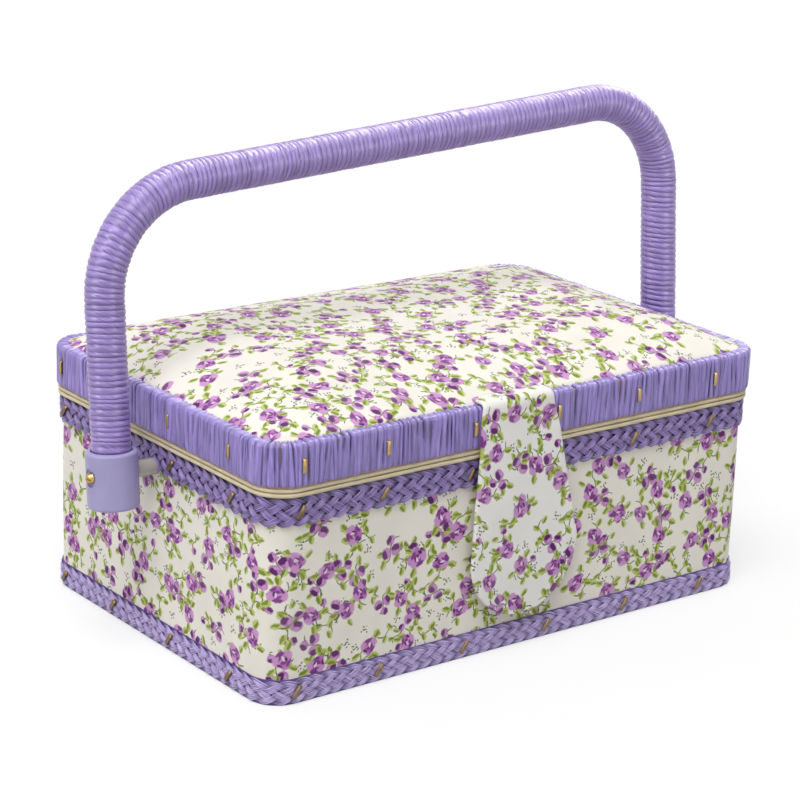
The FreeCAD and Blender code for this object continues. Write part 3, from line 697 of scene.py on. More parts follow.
@dataclass(frozen=True)
class PrintedCloth(Finish):
    """Cream cotton with a small strewn flower print, on the piece's own chart in millimetres."""

    ground: Colour = (0.915, 0.88, 0.79)
    label: str = "ditsy"
    thread: float = 0.42
    scatter: float = 0.62
    far_off: float = 1000.0
    least_ink: float = 0.78
    wander: float = 9.0
    tremble: float = 1.3
    cloudy: float = 0.94
    depth: float = 0.00012

    def cell(self, net: Net, where: Field, spray: Spray) -> tuple[Field, Field]:
        """Finds where a point stands in its motif's own axes, far away where none is shown.

        Args:
            net: The nodes.
            where: The point on the chart.
            spray: The motif.

        Returns:
            The place about the motif's middle, turned by chance, and a chance for its tints.
        """
        turned = net.mapping(where, Location=(spray.shift, 2 * spray.shift, 0), Rotation=(0, 0, spray.turn))
        net_of_cells = net.add("ShaderNodeTexVoronoi", voronoi_dimensions="2D")
        net.feed(net_of_cells.inputs["Vector"], turned)
        net_of_cells.inputs["Scale"].default_value = 1 / spray.pitch
        net_of_cells.inputs["Randomness"].default_value = self.scatter
        chances = net.parts(Field(net, net_of_cells.outputs["Color"]))
        about = net.vector("SUBTRACT", turned, Field(net, net_of_cells.outputs["Position"]))
        hidden = net.math("GREATER_THAN", chances[1], spray.shown) * self.far_off
        rotate = net.add("ShaderNodeVectorRotate", rotation_type="Z_AXIS")
        net.feed(rotate.inputs["Vector"], about)
        net.feed(rotate.inputs["Angle"], chances[0] * (2 * math.pi))
        return net.vector("ADD", Field(net, rotate.outputs["Vector"]), hidden), chances[2]

    def strew(self, net: Net, colour: Field, where: Field, spray: Spray) -> Field:
        """Paints one motif over the ground: a bowed stem first, then its marks in order.

        A mark covers the points whose distance, divided by its half sizes, is under 1. The stem
        covers the points close to a sine arch.

        Args:
            net: The nodes.
            colour: The ground so far.
            where: The point on the chart.
            spray: The motif.

        Returns:
            The painted colour.
        """
        local, chance = self.cell(net, where, spray)
        x, y, _ = net.parts(local)
        reach, bow = spray.stem
        strength = chance * (1 - self.least_ink) + self.least_ink
        arch = net.math("SINE", x * (math.pi / reach)) * bow
        near = net.smooth(net.math("ABSOLUTE", y - arch), 0.42, 0.16)
        along = net.smooth(net.math("ABSOLUTE", x), reach + 0.3, reach - 0.3)
        colour = net.mix(near * along, colour, Paint.STEM.value)
        for dab in spray.dabs:
            shaped = net.mapping(
                local,
                kind="TEXTURE",
                Location=(dab.x, dab.y, 0),
                Rotation=(0, 0, math.radians(dab.turn)),
                Scale=(dab.wide, dab.high, 1),
            )
            cover = net.smooth(net.vector("LENGTH", shaped), 1.16, 0.8) * strength
            colour = net.mix(cover, colour, dab.paint.value)
        return colour

    def dress(self, net: Net) -> None:
        """Paints specks, stems, leaves, buds and roses on the ground, over a fine weave.

        Args:
            net: The nodes.
        """
        chart = net.chart()
        where = net.vector("MULTIPLY", chart, (1, 1, 0))
        for scale, detail, reach in ((0.02, 0.0, self.wander), (0.5, 2.0, self.tremble)):
            stray = net.vector("SUBTRACT", net.noise(chart, scale, detail, "Color"), (0.5, 0.5, 0.5))
            where = net.vector("ADD", where, net.vector("MULTIPLY", stray, (reach, reach, 0)))
        patch = net.noise(chart, 0.045, 3.0)
        deeper = tuple(part * self.cloudy for part in self.ground)
        colour = net.mix(net.smooth(patch, 0.35, 0.75), self.ground, deeper)
        for spray in SPRAYS:
            colour = self.strew(net, colour, where, spray)
        u, v, _ = net.parts(chart)
        thread = 2 * math.pi / self.thread
        weave = net.math("SINE", u * thread) * net.math("SINE", v * thread)
        net.relief(weave * 0.5 + net.noise(chart, 0.35, 3.0), self.depth, 0.5)
        net.surface(Base_Color=colour, Roughness=0.7, Specular_IOR_Level=0.12)
        net.surface(Sheen_Weight=0.12, Sheen_Roughness=0.4)


@dataclass(frozen=True)
class PlainCloth(Finish):
    """Plain woven cloth in one shade, on the piece's own chart in millimetres."""

    label: str
    shade: Colour
    thread: float = 0.5
    depth: float = 0.00014
    tone_and_weave_shade: float = 0.8

    def dress(self, net: Net) -> None:
        """Lays a weave of crossing threads, with painted shade in its low places, over a slightly uneven
        shade.

        Args:
            net: The nodes.
        """
        chart = net.chart()
        u, v, _ = net.parts(chart)
        turn = 2 * math.pi / self.thread
        weave = net.math("SINE", u * turn) * net.math("SINE", v * turn)
        uneven = net.smooth(net.noise(chart, 0.12, 4.0), 0.3, 0.75)
        darker = tuple(part * self.tone_and_weave_shade for part in self.shade)
        shade = net.mix(uneven, self.shade, darker)
        # Painted shade: the weave's low places darker
        colour = net.mix(net.smooth(weave, 0.2, -1.0) * 0.5, shade, darker)
        net.relief(weave * 0.5 + net.noise(chart, 0.8, 3.0), self.depth, 0.7)
        net.surface(Base_Color=colour, Roughness=0.75, Sheen_Weight=0.2, Specular_IOR_Level=0.3)


@dataclass(frozen=True)
class Strip(Finish):
    """Satin strip of straight fibres: the chart's x runs across the fibres and y along them."""

    label: str
    shade: Colour
    # The painted shade's colour, laid in grooves, slits and gaps
    deep: Colour
    fibre: float = 3.4
    contrast: float = 1.0
    rough: float = 0.4
    slant: float = 0.0
    satin: float = 0.2
    gloss: float = 0.5
    lightening: float = 0.5
    darkening: float = 0.48
    depth: float = 0.00028
    sheen: Colour = (0.86, 0.79, 1.0)

    def dress(self, net: Net) -> None:
        """Lays long fibres of uneven tone, with painted shade in the grooves, over the piece's own tone.

        Args:
            net: The nodes.
        """
        chart = net.mapping(net.chart(), Rotation=(0, 0, self.slant))
        strands = net.noise(net.mapping(chart, Scale=(self.fibre, 0.1, 1)), 1.0, 3.0)
        hairs = net.noise(net.mapping(chart, Scale=(self.fibre * 2.6, 0.22, 1)), 1.0, 2.0)
        lighter = tuple(min(1.0, part * (1 + self.lightening * self.contrast)) for part in self.shade)
        darker = tuple(part * (1 - self.darkening * self.contrast) for part in self.shade)
        across = net.smooth(strands, 0.3, 0.72)
        dull = net.mix(across, darker, self.shade)
        bright = net.mix(across, self.shade, lighter)
        toned = net.mix(net.mark("tone"), dull, bright)
        # Painted shade: the groove mark darkens the colour towards the deep colour
        colour = net.mix(net.mark("groove"), toned, self.deep)
        net.relief(strands + hairs * 0.6, self.depth * self.contrast, 0.75)
        net.surface(Base_Color=colour, Roughness=self.rough, Specular_IOR_Level=self.gloss)
        net.surface(Sheen_Weight=self.satin, Sheen_Roughness=0.3, Sheen_Tint=self.sheen)


@dataclass(frozen=True)
class Plastic(Finish):
    """Moulded plastic with a faint skin and small flow marks."""

    label: str
    shade: Colour
    rough: float = 0.32
    clear: float = 0.0
    cloudy: float = 0.92
    uneven: float = 0.12
    bending: float = 1.47

    def dress(self, net: Net) -> None:
        """Lays faint clouds in the shade and a fine skin on the surface.

        Args:
            net: The nodes.
        """
        place = net.place()
        cloud = net.smooth(net.noise(place, 90.0, 3.0), 0.3, 0.75)
        colour = net.mix(cloud, self.shade, tuple(part * self.cloudy for part in self.shade))
        net.relief(net.noise(place, 900.0, 2.0), 0.00005, 0.35)
        rough = net.noise(place, 260.0, 2.0) * self.uneven + (self.rough - self.uneven / 2)
        net.surface(Base_Color=colour, Roughness=rough, Specular_IOR_Level=0.5)
        net.surface(Transmission_Weight=self.clear, IOR=self.bending)


@dataclass(frozen=True)
class Metal(Finish):
    """Plated metal with a fine rub and slight tarnish."""

    label: str
    shade: Colour
    tarnish: Colour
    rough: float = 0.3
    stained: float = 0.6
    scuffed: float = 0.2
    rubbed: float = 0.08

    def dress(self, net: Net) -> None:
        """Mixes tarnish into the plating by cloudy noise, and scuffs its gloss.

        Args:
            net: The nodes.
        """
        place = net.place()
        cloud = net.smooth(net.noise(place, 420.0, 4.0), 0.45, 0.75)
        colour = net.mix(cloud * self.stained, self.shade, self.tarnish)
        scuff = net.noise(net.mapping(place, Scale=(300, 3000, 300)), 1.0, 3.0)
        net.relief(scuff, 0.00004, 0.4)
        rough = scuff * self.scuffed + (self.rough - self.rubbed)
        net.surface(Base_Color=colour, Metallic=1.0, Roughness=rough)


@dataclass(frozen=True)
class FibreBoard(Finish):
    """Pressed fibre board: short tangled fibres in brown shades."""

    label: str = "board"
    shade: Colour = (0.36, 0.25, 0.15)
    fibre_light: float = 1.5

    def dress(self, net: Net) -> None:
        """Lays short fibres of two scales over the shade.

        Args:
            net: The nodes.
        """
        place = net.place()
        tangle = net.noise(net.mapping(place, Scale=(900, 260, 600)), 1.0, 5.0)
        spots = net.noise(place, 160.0, 3.0)
        lighter = tuple(part * self.fibre_light for part in self.shade)
        colour = net.mix(net.smooth(tangle, 0.35, 0.7), self.shade, lighter)
        net.relief(tangle + spots, 0.0002, 0.6)
        net.surface(Base_Color=colour, Roughness=0.85, Specular_IOR_Level=0.25)


PRINT = PrintedCloth()
PRINT_WHITE = PrintedCloth((0.93, 0.912, 0.875), "ditsy_white")
LINING = PlainCloth("lining", (0.82, 0.78, 0.69))
PIPING = PlainCloth("piping", (0.87, 0.75, 0.5), 0.7, 0.0003)
RAFFIA = Strip(
    "raffia", (0.325, 0.248, 0.635), (0.011, 0.004, 0.06),
    fibre=2.2, contrast=1.1, rough=0.34, satin=0.25, gloss=0.55,
)
RAFFIA_DARK = Strip(
    "raffia_plait", (0.33, 0.235, 0.57), (0.012, 0.002, 0.045),
    fibre=2.0, contrast=1.1, rough=0.32, satin=0.15, gloss=0.6,
)
RAFFIA_PALE = Strip(
    "raffia_foot", (0.55, 0.44, 0.84), (0.065, 0.03, 0.19),
    fibre=2.0, contrast=0.9, rough=0.32, satin=0.25, gloss=0.6,
)
RAFFIA_SOFT = Strip(
    "raffia_handle", (0.335, 0.225, 0.6), (0.06, 0.025, 0.17),
    fibre=1.8, contrast=1.0, rough=0.34, slant=0.3, satin=0.6, gloss=0.8,
)
LILAC = Plastic("cup", (0.385, 0.348, 0.605), 0.42)
CLEAR = Plastic("sleeve", (0.86, 0.84, 0.78), 0.2, 0.6)
CORE = Plastic("core", (0.6, 0.6, 0.6), 0.5)
BRASS = Metal("brass", (0.52, 0.36, 0.13), (0.2, 0.12, 0.04), 0.34)
TACK = Metal("tack", (0.42, 0.3, 0.14), (0.14, 0.08, 0.03), 0.4)
TACK_DULL = Metal("dull_tack", (0.22, 0.15, 0.08), (0.08, 0.045, 0.03), 0.45)
STEEL = Metal("snap", (0.62, 0.62, 0.64), (0.3, 0.3, 0.3), 0.3)
BOARD = FibreBoard()


def settle(
    piece: bpy.types.Object, body: Body | None, finish: Finish, nodes: Sequence[str]
) -> bpy.types.Object:
    """Dresses a new piece, says what it stands for and lets it ride on its body.

    Args:
        piece: The piece.
        body: The body that it moves with, or none, so that it moves with none.
        finish: Its finish.
        nodes: The solids that it stands for.

    Returns:
        The piece.
    """
    piece.data.materials.clear()
    piece.data.materials.append(material_of(finish))
    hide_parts(*nodes)
    if body is not None:
        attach(piece, body.value)
    log.info("%s: %d faces, stands for %s", piece.name, len(piece.data.polygons), ", ".join(nodes))
    return piece


def levels(node: str) -> tuple[float, float]:
    """Reads a solid's lowest and highest level, in millimetres.

    Args:
        node: The solid's name.

    Returns:
        The two levels.
    """
    low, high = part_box(node)
    return low.z / MM, high.z / MM


def pad_room(node: str) -> tuple[float, float, float, float]:
    """Reads a flat solid's room, in millimetres.

    Args:
        node: The solid's name.

    Returns:
        Half its length, half its width, its lowest level and its highest.
    """
    low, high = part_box(node)
    half_length, half_width = ((high[i] - low[i]) / 2 / MM for i in (0, 1))
    return half_length, half_width, low.z / MM, high.z / MM


def waves(run: np.ndarray, around: float, seed: int, count: int = 9, first: int = 3) -> np.ndarray:
    """Adds up sines of whole turns round the outline, with chance sizes and phases.

    Args:
        run: Where round the outline.
        around: The outline's length.
        seed: The chance's seed.
        count: How many sines.
        first: The turns of the slowest.

    Returns:
        A smooth curve between about -1 and 1 that closes on itself.
    """
    chance = np.random.default_rng(seed)
    turns = first + np.arange(count) * 3 + chance.integers(0, 3, count)
    phases, sizes = chance.uniform(0, 2 * math.pi, count), chance.uniform(0.4, 1.0, count)
    total = (sizes * np.sin(2 * math.pi * run[..., None] * turns / around + phases)).sum(axis=-1)
    return total / sizes.sum() * 1.6


def ring(plan: Plan, section: np.ndarray, columns: int, sway: float = 0.0, seed: int = 1) -> Surface:
    """Carries a closed section round the plan: point(run, place) = plan at the section's offset and height.

    Args:
        plan: The outline.
        section: Offsets and heights of the section's loop.
        columns: How many sections stand round the outline.
        sway: How far the ring waves up and down.
        seed: The waves' seed.

    Returns:
        The closed surface, with its chart along the outline and round the section.
    """
    run = np.linspace(0, plan.around, columns, endpoint=False)
    lift = sway * waves(run, plan.around, seed)[:, None]
    points = plan.place(run[:, None], section[None, :, 0], section[None, :, 1] + lift)
    u, v = np.meshgrid(np.append(run, plan.around), loop_lengths(section), indexing="ij")
    return Surface(points, np.stack([u, v], axis=-1), loop_rows=True)


@dataclass(frozen=True)
class Piping:
    """A cream piping that lies on the edge of the box or the lid and waves slightly up and down."""

    name: str
    node: str
    body: Body
    seed: int
    reach: float = 2.1
    back: float = -3.7
    rounding: float = 0.72
    sway: float = 0.12

    def build(self, plan: Plan) -> None:
        """Carries its rounded section round the box, in its solid's place.

        Args:
            plan: The box's outline.
        """
        low, high = levels(self.node)
        section = rounded_section((self.back, low), (self.reach, high), self.rounding, 2)
        surface = ring(plan, section, RING_COLUMNS, self.sway, self.seed)
        settle(join(self.name, [surface]), self.body, PIPING, [self.node])


@dataclass
class Pillow:
    """A pad with a rounded outline: a crowned top and a flat underside on one grid each."""

    half_length: float
    half_width: float
    corner: float
    low: float
    edge: float
    rise: float
    shoulder: float
    step: float = 2.0

    def outline_grid(self) -> np.ndarray:
        """Spreads a square grid over the rounded outline.

        Inside each corner's square the place (p, q) becomes p times the root of 1 - q q / 2, and
        the other way round, which turns the square's outer edges into the corner's arc.

        Returns:
            The x and y of the grid's points, in millimetres.
        """
        across = np.linspace(-1, 1, 2 * round(self.half_length / self.step) + 1) * self.half_length
        along = np.linspace(-1, 1, 2 * round(self.half_width / self.step) + 1) * self.half_width
        x, y = np.meshgrid(across, along, indexing="ij")
        p = np.clip((np.abs(x) - self.half_length + self.corner) / self.corner, 0, 1)
        q = np.clip((np.abs(y) - self.half_width + self.corner) / self.corner, 0, 1)
        x -= np.sign(x) * self.corner * p * (1 - np.sqrt(1 - q * q / 2))
        y -= np.sign(y) * self.corner * q * (1 - np.sqrt(1 - p * p / 2))
        return np.stack([x, y], axis=-1)

    def depth(self, flat: np.ndarray) -> np.ndarray:
        """How far inside the rounded outline each point is.

        Args:
            flat: The points' x and y.

        Returns:
            The distances to the outline.
        """
        past = np.abs(flat) - np.array([self.half_length, self.half_width]) + self.corner
        outside = np.linalg.norm(np.maximum(past, 0), axis=-1)
        return self.corner - outside - np.minimum(past.max(axis=-1), 0)

    def crown(self, flat: np.ndarray) -> np.ndarray:
        """The top's height: edge plus rise times, for x and for y, 1 - (1 - room / shoulder) ^ 2.

        The room is how far a point is from the pad's end in x or its side in y.

        Args:
            flat: The points' x and y.

        Returns:
            The heights.
        """
        room = np.array([self.half_length, self.half_width]) - np.abs(flat)
        share = np.clip(room / self.shoulder, 0, 1)
        return self.edge + self.rise * np.prod(1 - (1 - share) ** 2, axis=-1)

    def build(self, name: str) -> bpy.types.Object:
        """Makes the closed pad: the top's grid, the underside's grid and a wall between their edges.

        Args:
            name: The object's name.

        Returns:
            The object.
        """
        flat = self.outline_grid()
        rows, columns = flat.shape[:2]
        top = np.concatenate([flat, self.crown(flat)[..., None]], axis=-1).reshape(-1, 3)
        foot = np.concatenate([flat, np.full((rows, columns, 1), self.low)], axis=-1).reshape(-1, 3)
        numbers = np.arange(rows * columns).reshape(rows, columns)
        square = np.stack([numbers[:-1, :-1], numbers[1:, :-1], numbers[1:, 1:], numbers[:-1, 1:]], axis=-1)
        square = square.reshape(-1, 4)
        sides = [numbers[:-1, 0], numbers[-1, :-1], numbers[:0:-1, -1], numbers[0, :0:-1]]
        border = np.concatenate(sides)
        after = np.roll(border, -1)
        under = rows * columns
        wall = np.stack([border, border + under, after + under, after], axis=-1)
        faces = np.concatenate([square, square[:, ::-1] + under, wall])
        chart = np.concatenate([flat.reshape(-1, 2), flat.reshape(-1, 2)])
        mesh = bpy.data.meshes.new(name)
        mesh.from_pydata((np.concatenate([top, foot]) * MM).tolist(), [], faces.tolist())
        return show(mesh, chart[faces.ravel()])


@dataclass
class Plait:
    """A flat plait round the box: strands that are each a bundle of flat fibres, on a band painted dark as
    the shadow behind them.
    """

    plan: Plan
    low: float
    high: float
    bundle: float
    foot: float
    weave: float = 0.42
    thickness: float = 1.6
    repeats: int = 26
    strands: int = 5
    fibres: int = 4
    bend: float = 0.96
    seed: int = 5
    steps: int = 20
    unsteady: float = 0.2
    drift: float = 0.3
    arch: float = 0.12
    fibre_height: float = 0.24
    fibre_points: int = 7
    chart_pitch: float = 7.0
    shadow_band_thickness: float = 0.4
    deepest_shade: float = 0.95

    def fibre(self, strand: int, number: int) -> Surface:
        """One fibre: its strand's height is the arc sine of bend times sin t, a zigzag with round turns.

        The strands share out the turn evenly. A strand's depth is the sine of t times one less than
        the number of strands, so that it passes over and under the others in turn. A fibre lies beside
        its strand's middle, square to the slope, drifts a little on slow waves and has a flat oval
        section.

        Args:
            strand: Which strand.
            number: Which of the strand's fibres.

        Returns:
            The closed surface.
        """
        half, around = (self.high - self.low) / 2, self.plan.around
        wide = half * self.bundle
        swing = (half - wide) / math.asin(self.bend)
        seed = self.seed + 17 * strand + number
        run = np.linspace(0, around, self.repeats * self.steps, endpoint=False)
        turn = 2 * math.pi * (self.repeats * run / around + strand / self.strands)
        turn += self.unsteady * waves(run, around, self.seed + strand, 16, 4)
        bent = self.bend * np.sin(turn)
        steep = self.bend * np.cos(turn) / np.sqrt(1 - bent * bent)
        slope = np.arctan(swing * steep * 2 * math.pi * self.repeats / around)
        over = np.sin((self.strands - 1) * turn)
        beside = 2 * number / (self.fibres - 1) - 1
        drift = self.drift * waves(run, around, seed, 30, 9)
        narrow = wide * 0.95 / self.fibres
        side = (beside + drift) * (wide - narrow)
        arch = self.arch * (1 - beside * beside) + self.arch * waves(run, around, seed + 3, 30, 9)
        depth = self.thickness * 0.5 + self.weave * over + arch
        oval = np.linspace(0, 2 * math.pi, self.fibre_points, endpoint=False)
        across = side[:, None] + narrow * np.cos(oval)[None, :]
        level = (self.low + self.high) / 2 + swing * np.arcsin(bent)
        points = self.plan.place(
            run[:, None] - across * np.sin(slope)[:, None],
            np.maximum(depth[:, None] + self.fibre_height * np.sin(oval)[None, :], 0.05),
            level[:, None] + across * np.cos(slope)[:, None],
        )
        place = self.chart_pitch * (strand * self.fibres + number)
        flat = narrow * np.append(np.cos(oval), 1.0) + place
        u, v = np.broadcast_arrays(flat[None, :], np.append(run, around)[:, None])
        grid = np.ones(points.shape[:2])
        tone = np.random.default_rng(seed).uniform(0.1, 1.0) + 0.5 * waves(run, around, seed + 9, 24, 6)
        # Painted shade: darker at each fibre's edges and where its strand passes under the others
        dip = 0.5 - 0.5 * over
        groove = 0.35 * np.abs(np.cos(oval))[None, :] ** 4 + 0.75 * dip[:, None] ** 1.6
        chart = np.stack([u, v], axis=-1)
        groove = np.minimum(groove, self.deepest_shade) * grid
        return Surface(points, chart, np.clip(tone, 0, 1)[:, None] * grid, groove, loop_rows=True)

    def build(self, name: str) -> bpy.types.Object:
        """Makes the band painted as shadow and the fibres one piece.

        Args:
            name: The object's name.

        Returns:
            The object.
        """
        height = self.high - self.low
        # A band in full painted shadow behind the strands, which shows in the holes between them
        foot = (0.0, self.low + self.foot * height)
        section = rounded_section(foot, (self.shadow_band_thickness, self.high), 0.15, 2)
        shadow_band = ring(self.plan, section, BACKING_COLUMNS)
        grid = shadow_band.points.shape[:2]
        shadow_band.tone, shadow_band.groove = np.zeros(grid), np.full(grid, self.deepest_shade)
        bundles = [
            self.fibre(strand, number) for strand in range(self.strands) for number in range(self.fibres)
        ]
        return join(name, [shadow_band, *bundles])


# One staple's side line, up and out, and its flat section, across and out, in millimetres
STAPLE_UP = np.array([-2.7, -2.75, -2.62, -2.25, 2.25, 2.62, 2.75, 2.7])
STAPLE_OUT = np.array([-0.9, -0.1, 0.2, 0.33, 0.33, 0.2, -0.1, -0.9])
STAPLE_SECTION = np.array(
    [(0.9, 0.08), (0.75, 0.2), (-0.75, 0.2), (-0.9, 0.08), (-0.9, -0.15), (0.9, -0.15)]
)


@dataclass
class Staples:
    """Bent flat wires on one band's four sides."""

    plan: Plan
    offset: float
    level: float
    tilt: float
    blocked: tuple[Spans, Spans, Spans, Spans]
    pitch: float = 42.0
    shift: float = -8.4
    room: float = 2.2

    def wire(self) -> np.ndarray:
        """One staple, upright: a flat section carried in, along the face and in again.

        Returns:
            Points of the section along the path, as across, out and up.
        """
        heading = np.arctan2(np.gradient(STAPLE_OUT), np.gradient(STAPLE_UP))[:, None]
        across, thick = STAPLE_SECTION.T[:, None, :]
        raised_out = STAPLE_OUT[:, None] + thick * np.cos(heading)
        raised_up = STAPLE_UP[:, None] - thick * np.sin(heading)
        across = np.broadcast_to(across, raised_up.shape)
        return np.stack([across, raised_out, raised_up], axis=-1)

    def places(self, side: int) -> np.ndarray:
        """Spaces the staples evenly, shifted along the side and clear of its ends and what is fixed there.

        Args:
            side: 0 for the front, then 1 to 3 leftwards seen from inside.

        Returns:
            Their places along the side.
        """
        length = self.plan.width if side % 2 else self.plan.length
        end = length / 2 - self.plan.corner
        count = int(2 * end / self.pitch)
        along = np.clip((np.arange(count + 1) - count / 2) * self.pitch + self.shift, -end, end)
        clear = [np.abs(along - middle) > half + self.room for middle, half in self.blocked[side]]
        return along[np.logical_and.reduce([np.ones(count + 1, bool), *clear])]

    def build(self, name: str) -> bpy.types.Object:
        """Sets the wires on the four sides, tilted.

        Args:
            name: The object's name.

        Returns:
            The object.
        """
        wire = self.wire()
        lean = math.radians(self.tilt)
        chart = np.zeros((wire.shape[0], wire.shape[1] + 1, 2))
        surfaces = []
        for side in range(4):
            reach = (self.plan.length if side % 2 else self.plan.width) / 2 + self.offset
            spin = side * math.pi / 2
            for along in self.places(side):
                x = along + wire[..., 0] * math.cos(lean) + wire[..., 2] * math.sin(lean)
                y = -reach - wire[..., 1]
                z = self.level - wire[..., 0] * math.sin(lean) + wire[..., 2] * math.cos(lean)
                turned = (x * math.cos(spin) - y * math.sin(spin), x * math.sin(spin) + y * math.cos(spin), z)
                surfaces.append(Surface(np.stack(turned, axis=-1), chart, capped=True))
        return join(name, surfaces)


@dataclass
class BoxBody:
    """The box: its cloth, plaits, piping, lining, floor pad and staples."""

    plan: Plan
    cover: float = 0.8
    lining_back: float = 4.6
    lining_face: float = 3.8
    belly_start: float = 11.0
    belly_height: float = 60.0
    belly: float = 0.25
    belly_waves: float = 0.2
    pad_corner: float = 7.0
    pad_edge: float = 0.6
    pad_shoulder: float = 9.0
    staple_offset: float = 1.6
    staple_tilt: float = 35.0

    def cloth(self) -> None:
        """Stretches the printed cloth round the walls, with slight waves between the plaits."""
        low, high = levels("fabric_cover")
        section = rounded_section((-self.cover, low), (0.0, high), 0.3, 18)
        surface = ring(self.plan, section, RING_COLUMNS)
        run = np.linspace(0, self.plan.around, RING_COLUMNS, endpoint=False)
        share = np.clip((section[:, 1] - self.belly_start) / self.belly_height, 0, 1)
        out = np.where(section[:, 0] > -0.3, 1.0, 0.0) * np.sin(share * math.pi)
        inner, outer = (self.plan.place(run, np.full(1, offset), np.zeros(1)) for offset in (0.0, 1.0))
        normal = outer - inner
        swell = self.belly + self.belly_waves * waves(run, self.plan.around, 21, 7, 2)
        surface.points += normal[:, None, :] * (swell[:, None] * out[None, :])[..., None]
        piece = settle(join("box_cloth", [surface]), Body.BOX, PRINT, ["fabric_cover"])
        size = (self.plan.around * MM, (high - low) * MM)

    def plaits(self) -> None:
        """Lays a plait under the rim and one round the foot."""
        for node, finish, bundle, foot, weave in (
            ("top_braid", RAFFIA_DARK, 0.215, 0.14, 0.5), ("base_braid", RAFFIA_PALE, 0.245, -0.035, 0.42)
        ):
            low, high = levels(node)
            plait = Plait(self.plan, low, high, bundle, foot, weave)
            settle(plait.build(node + "_plait"), Body.BOX, finish, [node])

    def lining(self) -> None:
        """Lines the walls with plain cloth and lays a soft pad on the floor."""
        low, high = levels("lining_wall")
        section = rounded_section((-self.lining_back, low), (-self.lining_face, high), 0.35, 10)
        surface = ring(self.plan, section, BACKING_COLUMNS)
        piece = settle(join("lining_band", [surface]), Body.BOX, LINING, ["lining_wall"])
        size = (self.plan.around * MM, (high - low) * MM)
        half_length, half_width, bottom, top = pad_room("floor_pad")
        edge = bottom + self.pad_edge
        rise = top - bottom - self.pad_edge
        pad = Pillow(
            half_length, half_width, self.pad_corner, bottom, edge, rise, self.pad_shoulder, step=3.0
        )
        soft = settle(pad.build("floor_cushion"), Body.BOX, LINING, ["floor_pad"])

    def staples(self) -> None:
        """Staples both plaits to the walls."""
        for node, braid, blocked in (
            ("top_braid_staples", "top_braid", ((), PIVOT, HINGES, PIVOT)),
            ("base_braid_staples", "base_braid", ((), (), (), ())),
        ):
            level = sum(levels(braid)) / 2
            row = Staples(self.plan, self.staple_offset, level, self.staple_tilt, blocked)
            settle(row.build(node + "_wires"), Body.BOX, TACK_DULL, [node])

    def build(self) -> None:
        """Makes every piece of the box in order."""
        self.cloth()
        self.plaits()
        Piping("box_piping", "box_welt", Body.BOX, 31).build(self.plan)
        self.lining()
        self.staples()


# A rim wrap's five places across it, and how far a slit opens at each, before and behind its joint
WRAP_PLACES = np.array([0.0, 0.12, 0.35, 0.65, 0.88])
SLIT_FALL = np.array([1.0, 0.3, 0.0, 0.0, 0.0])
SLIT_RISE = np.array([0.0, 0.0, 0.0, 0.0, 0.3])


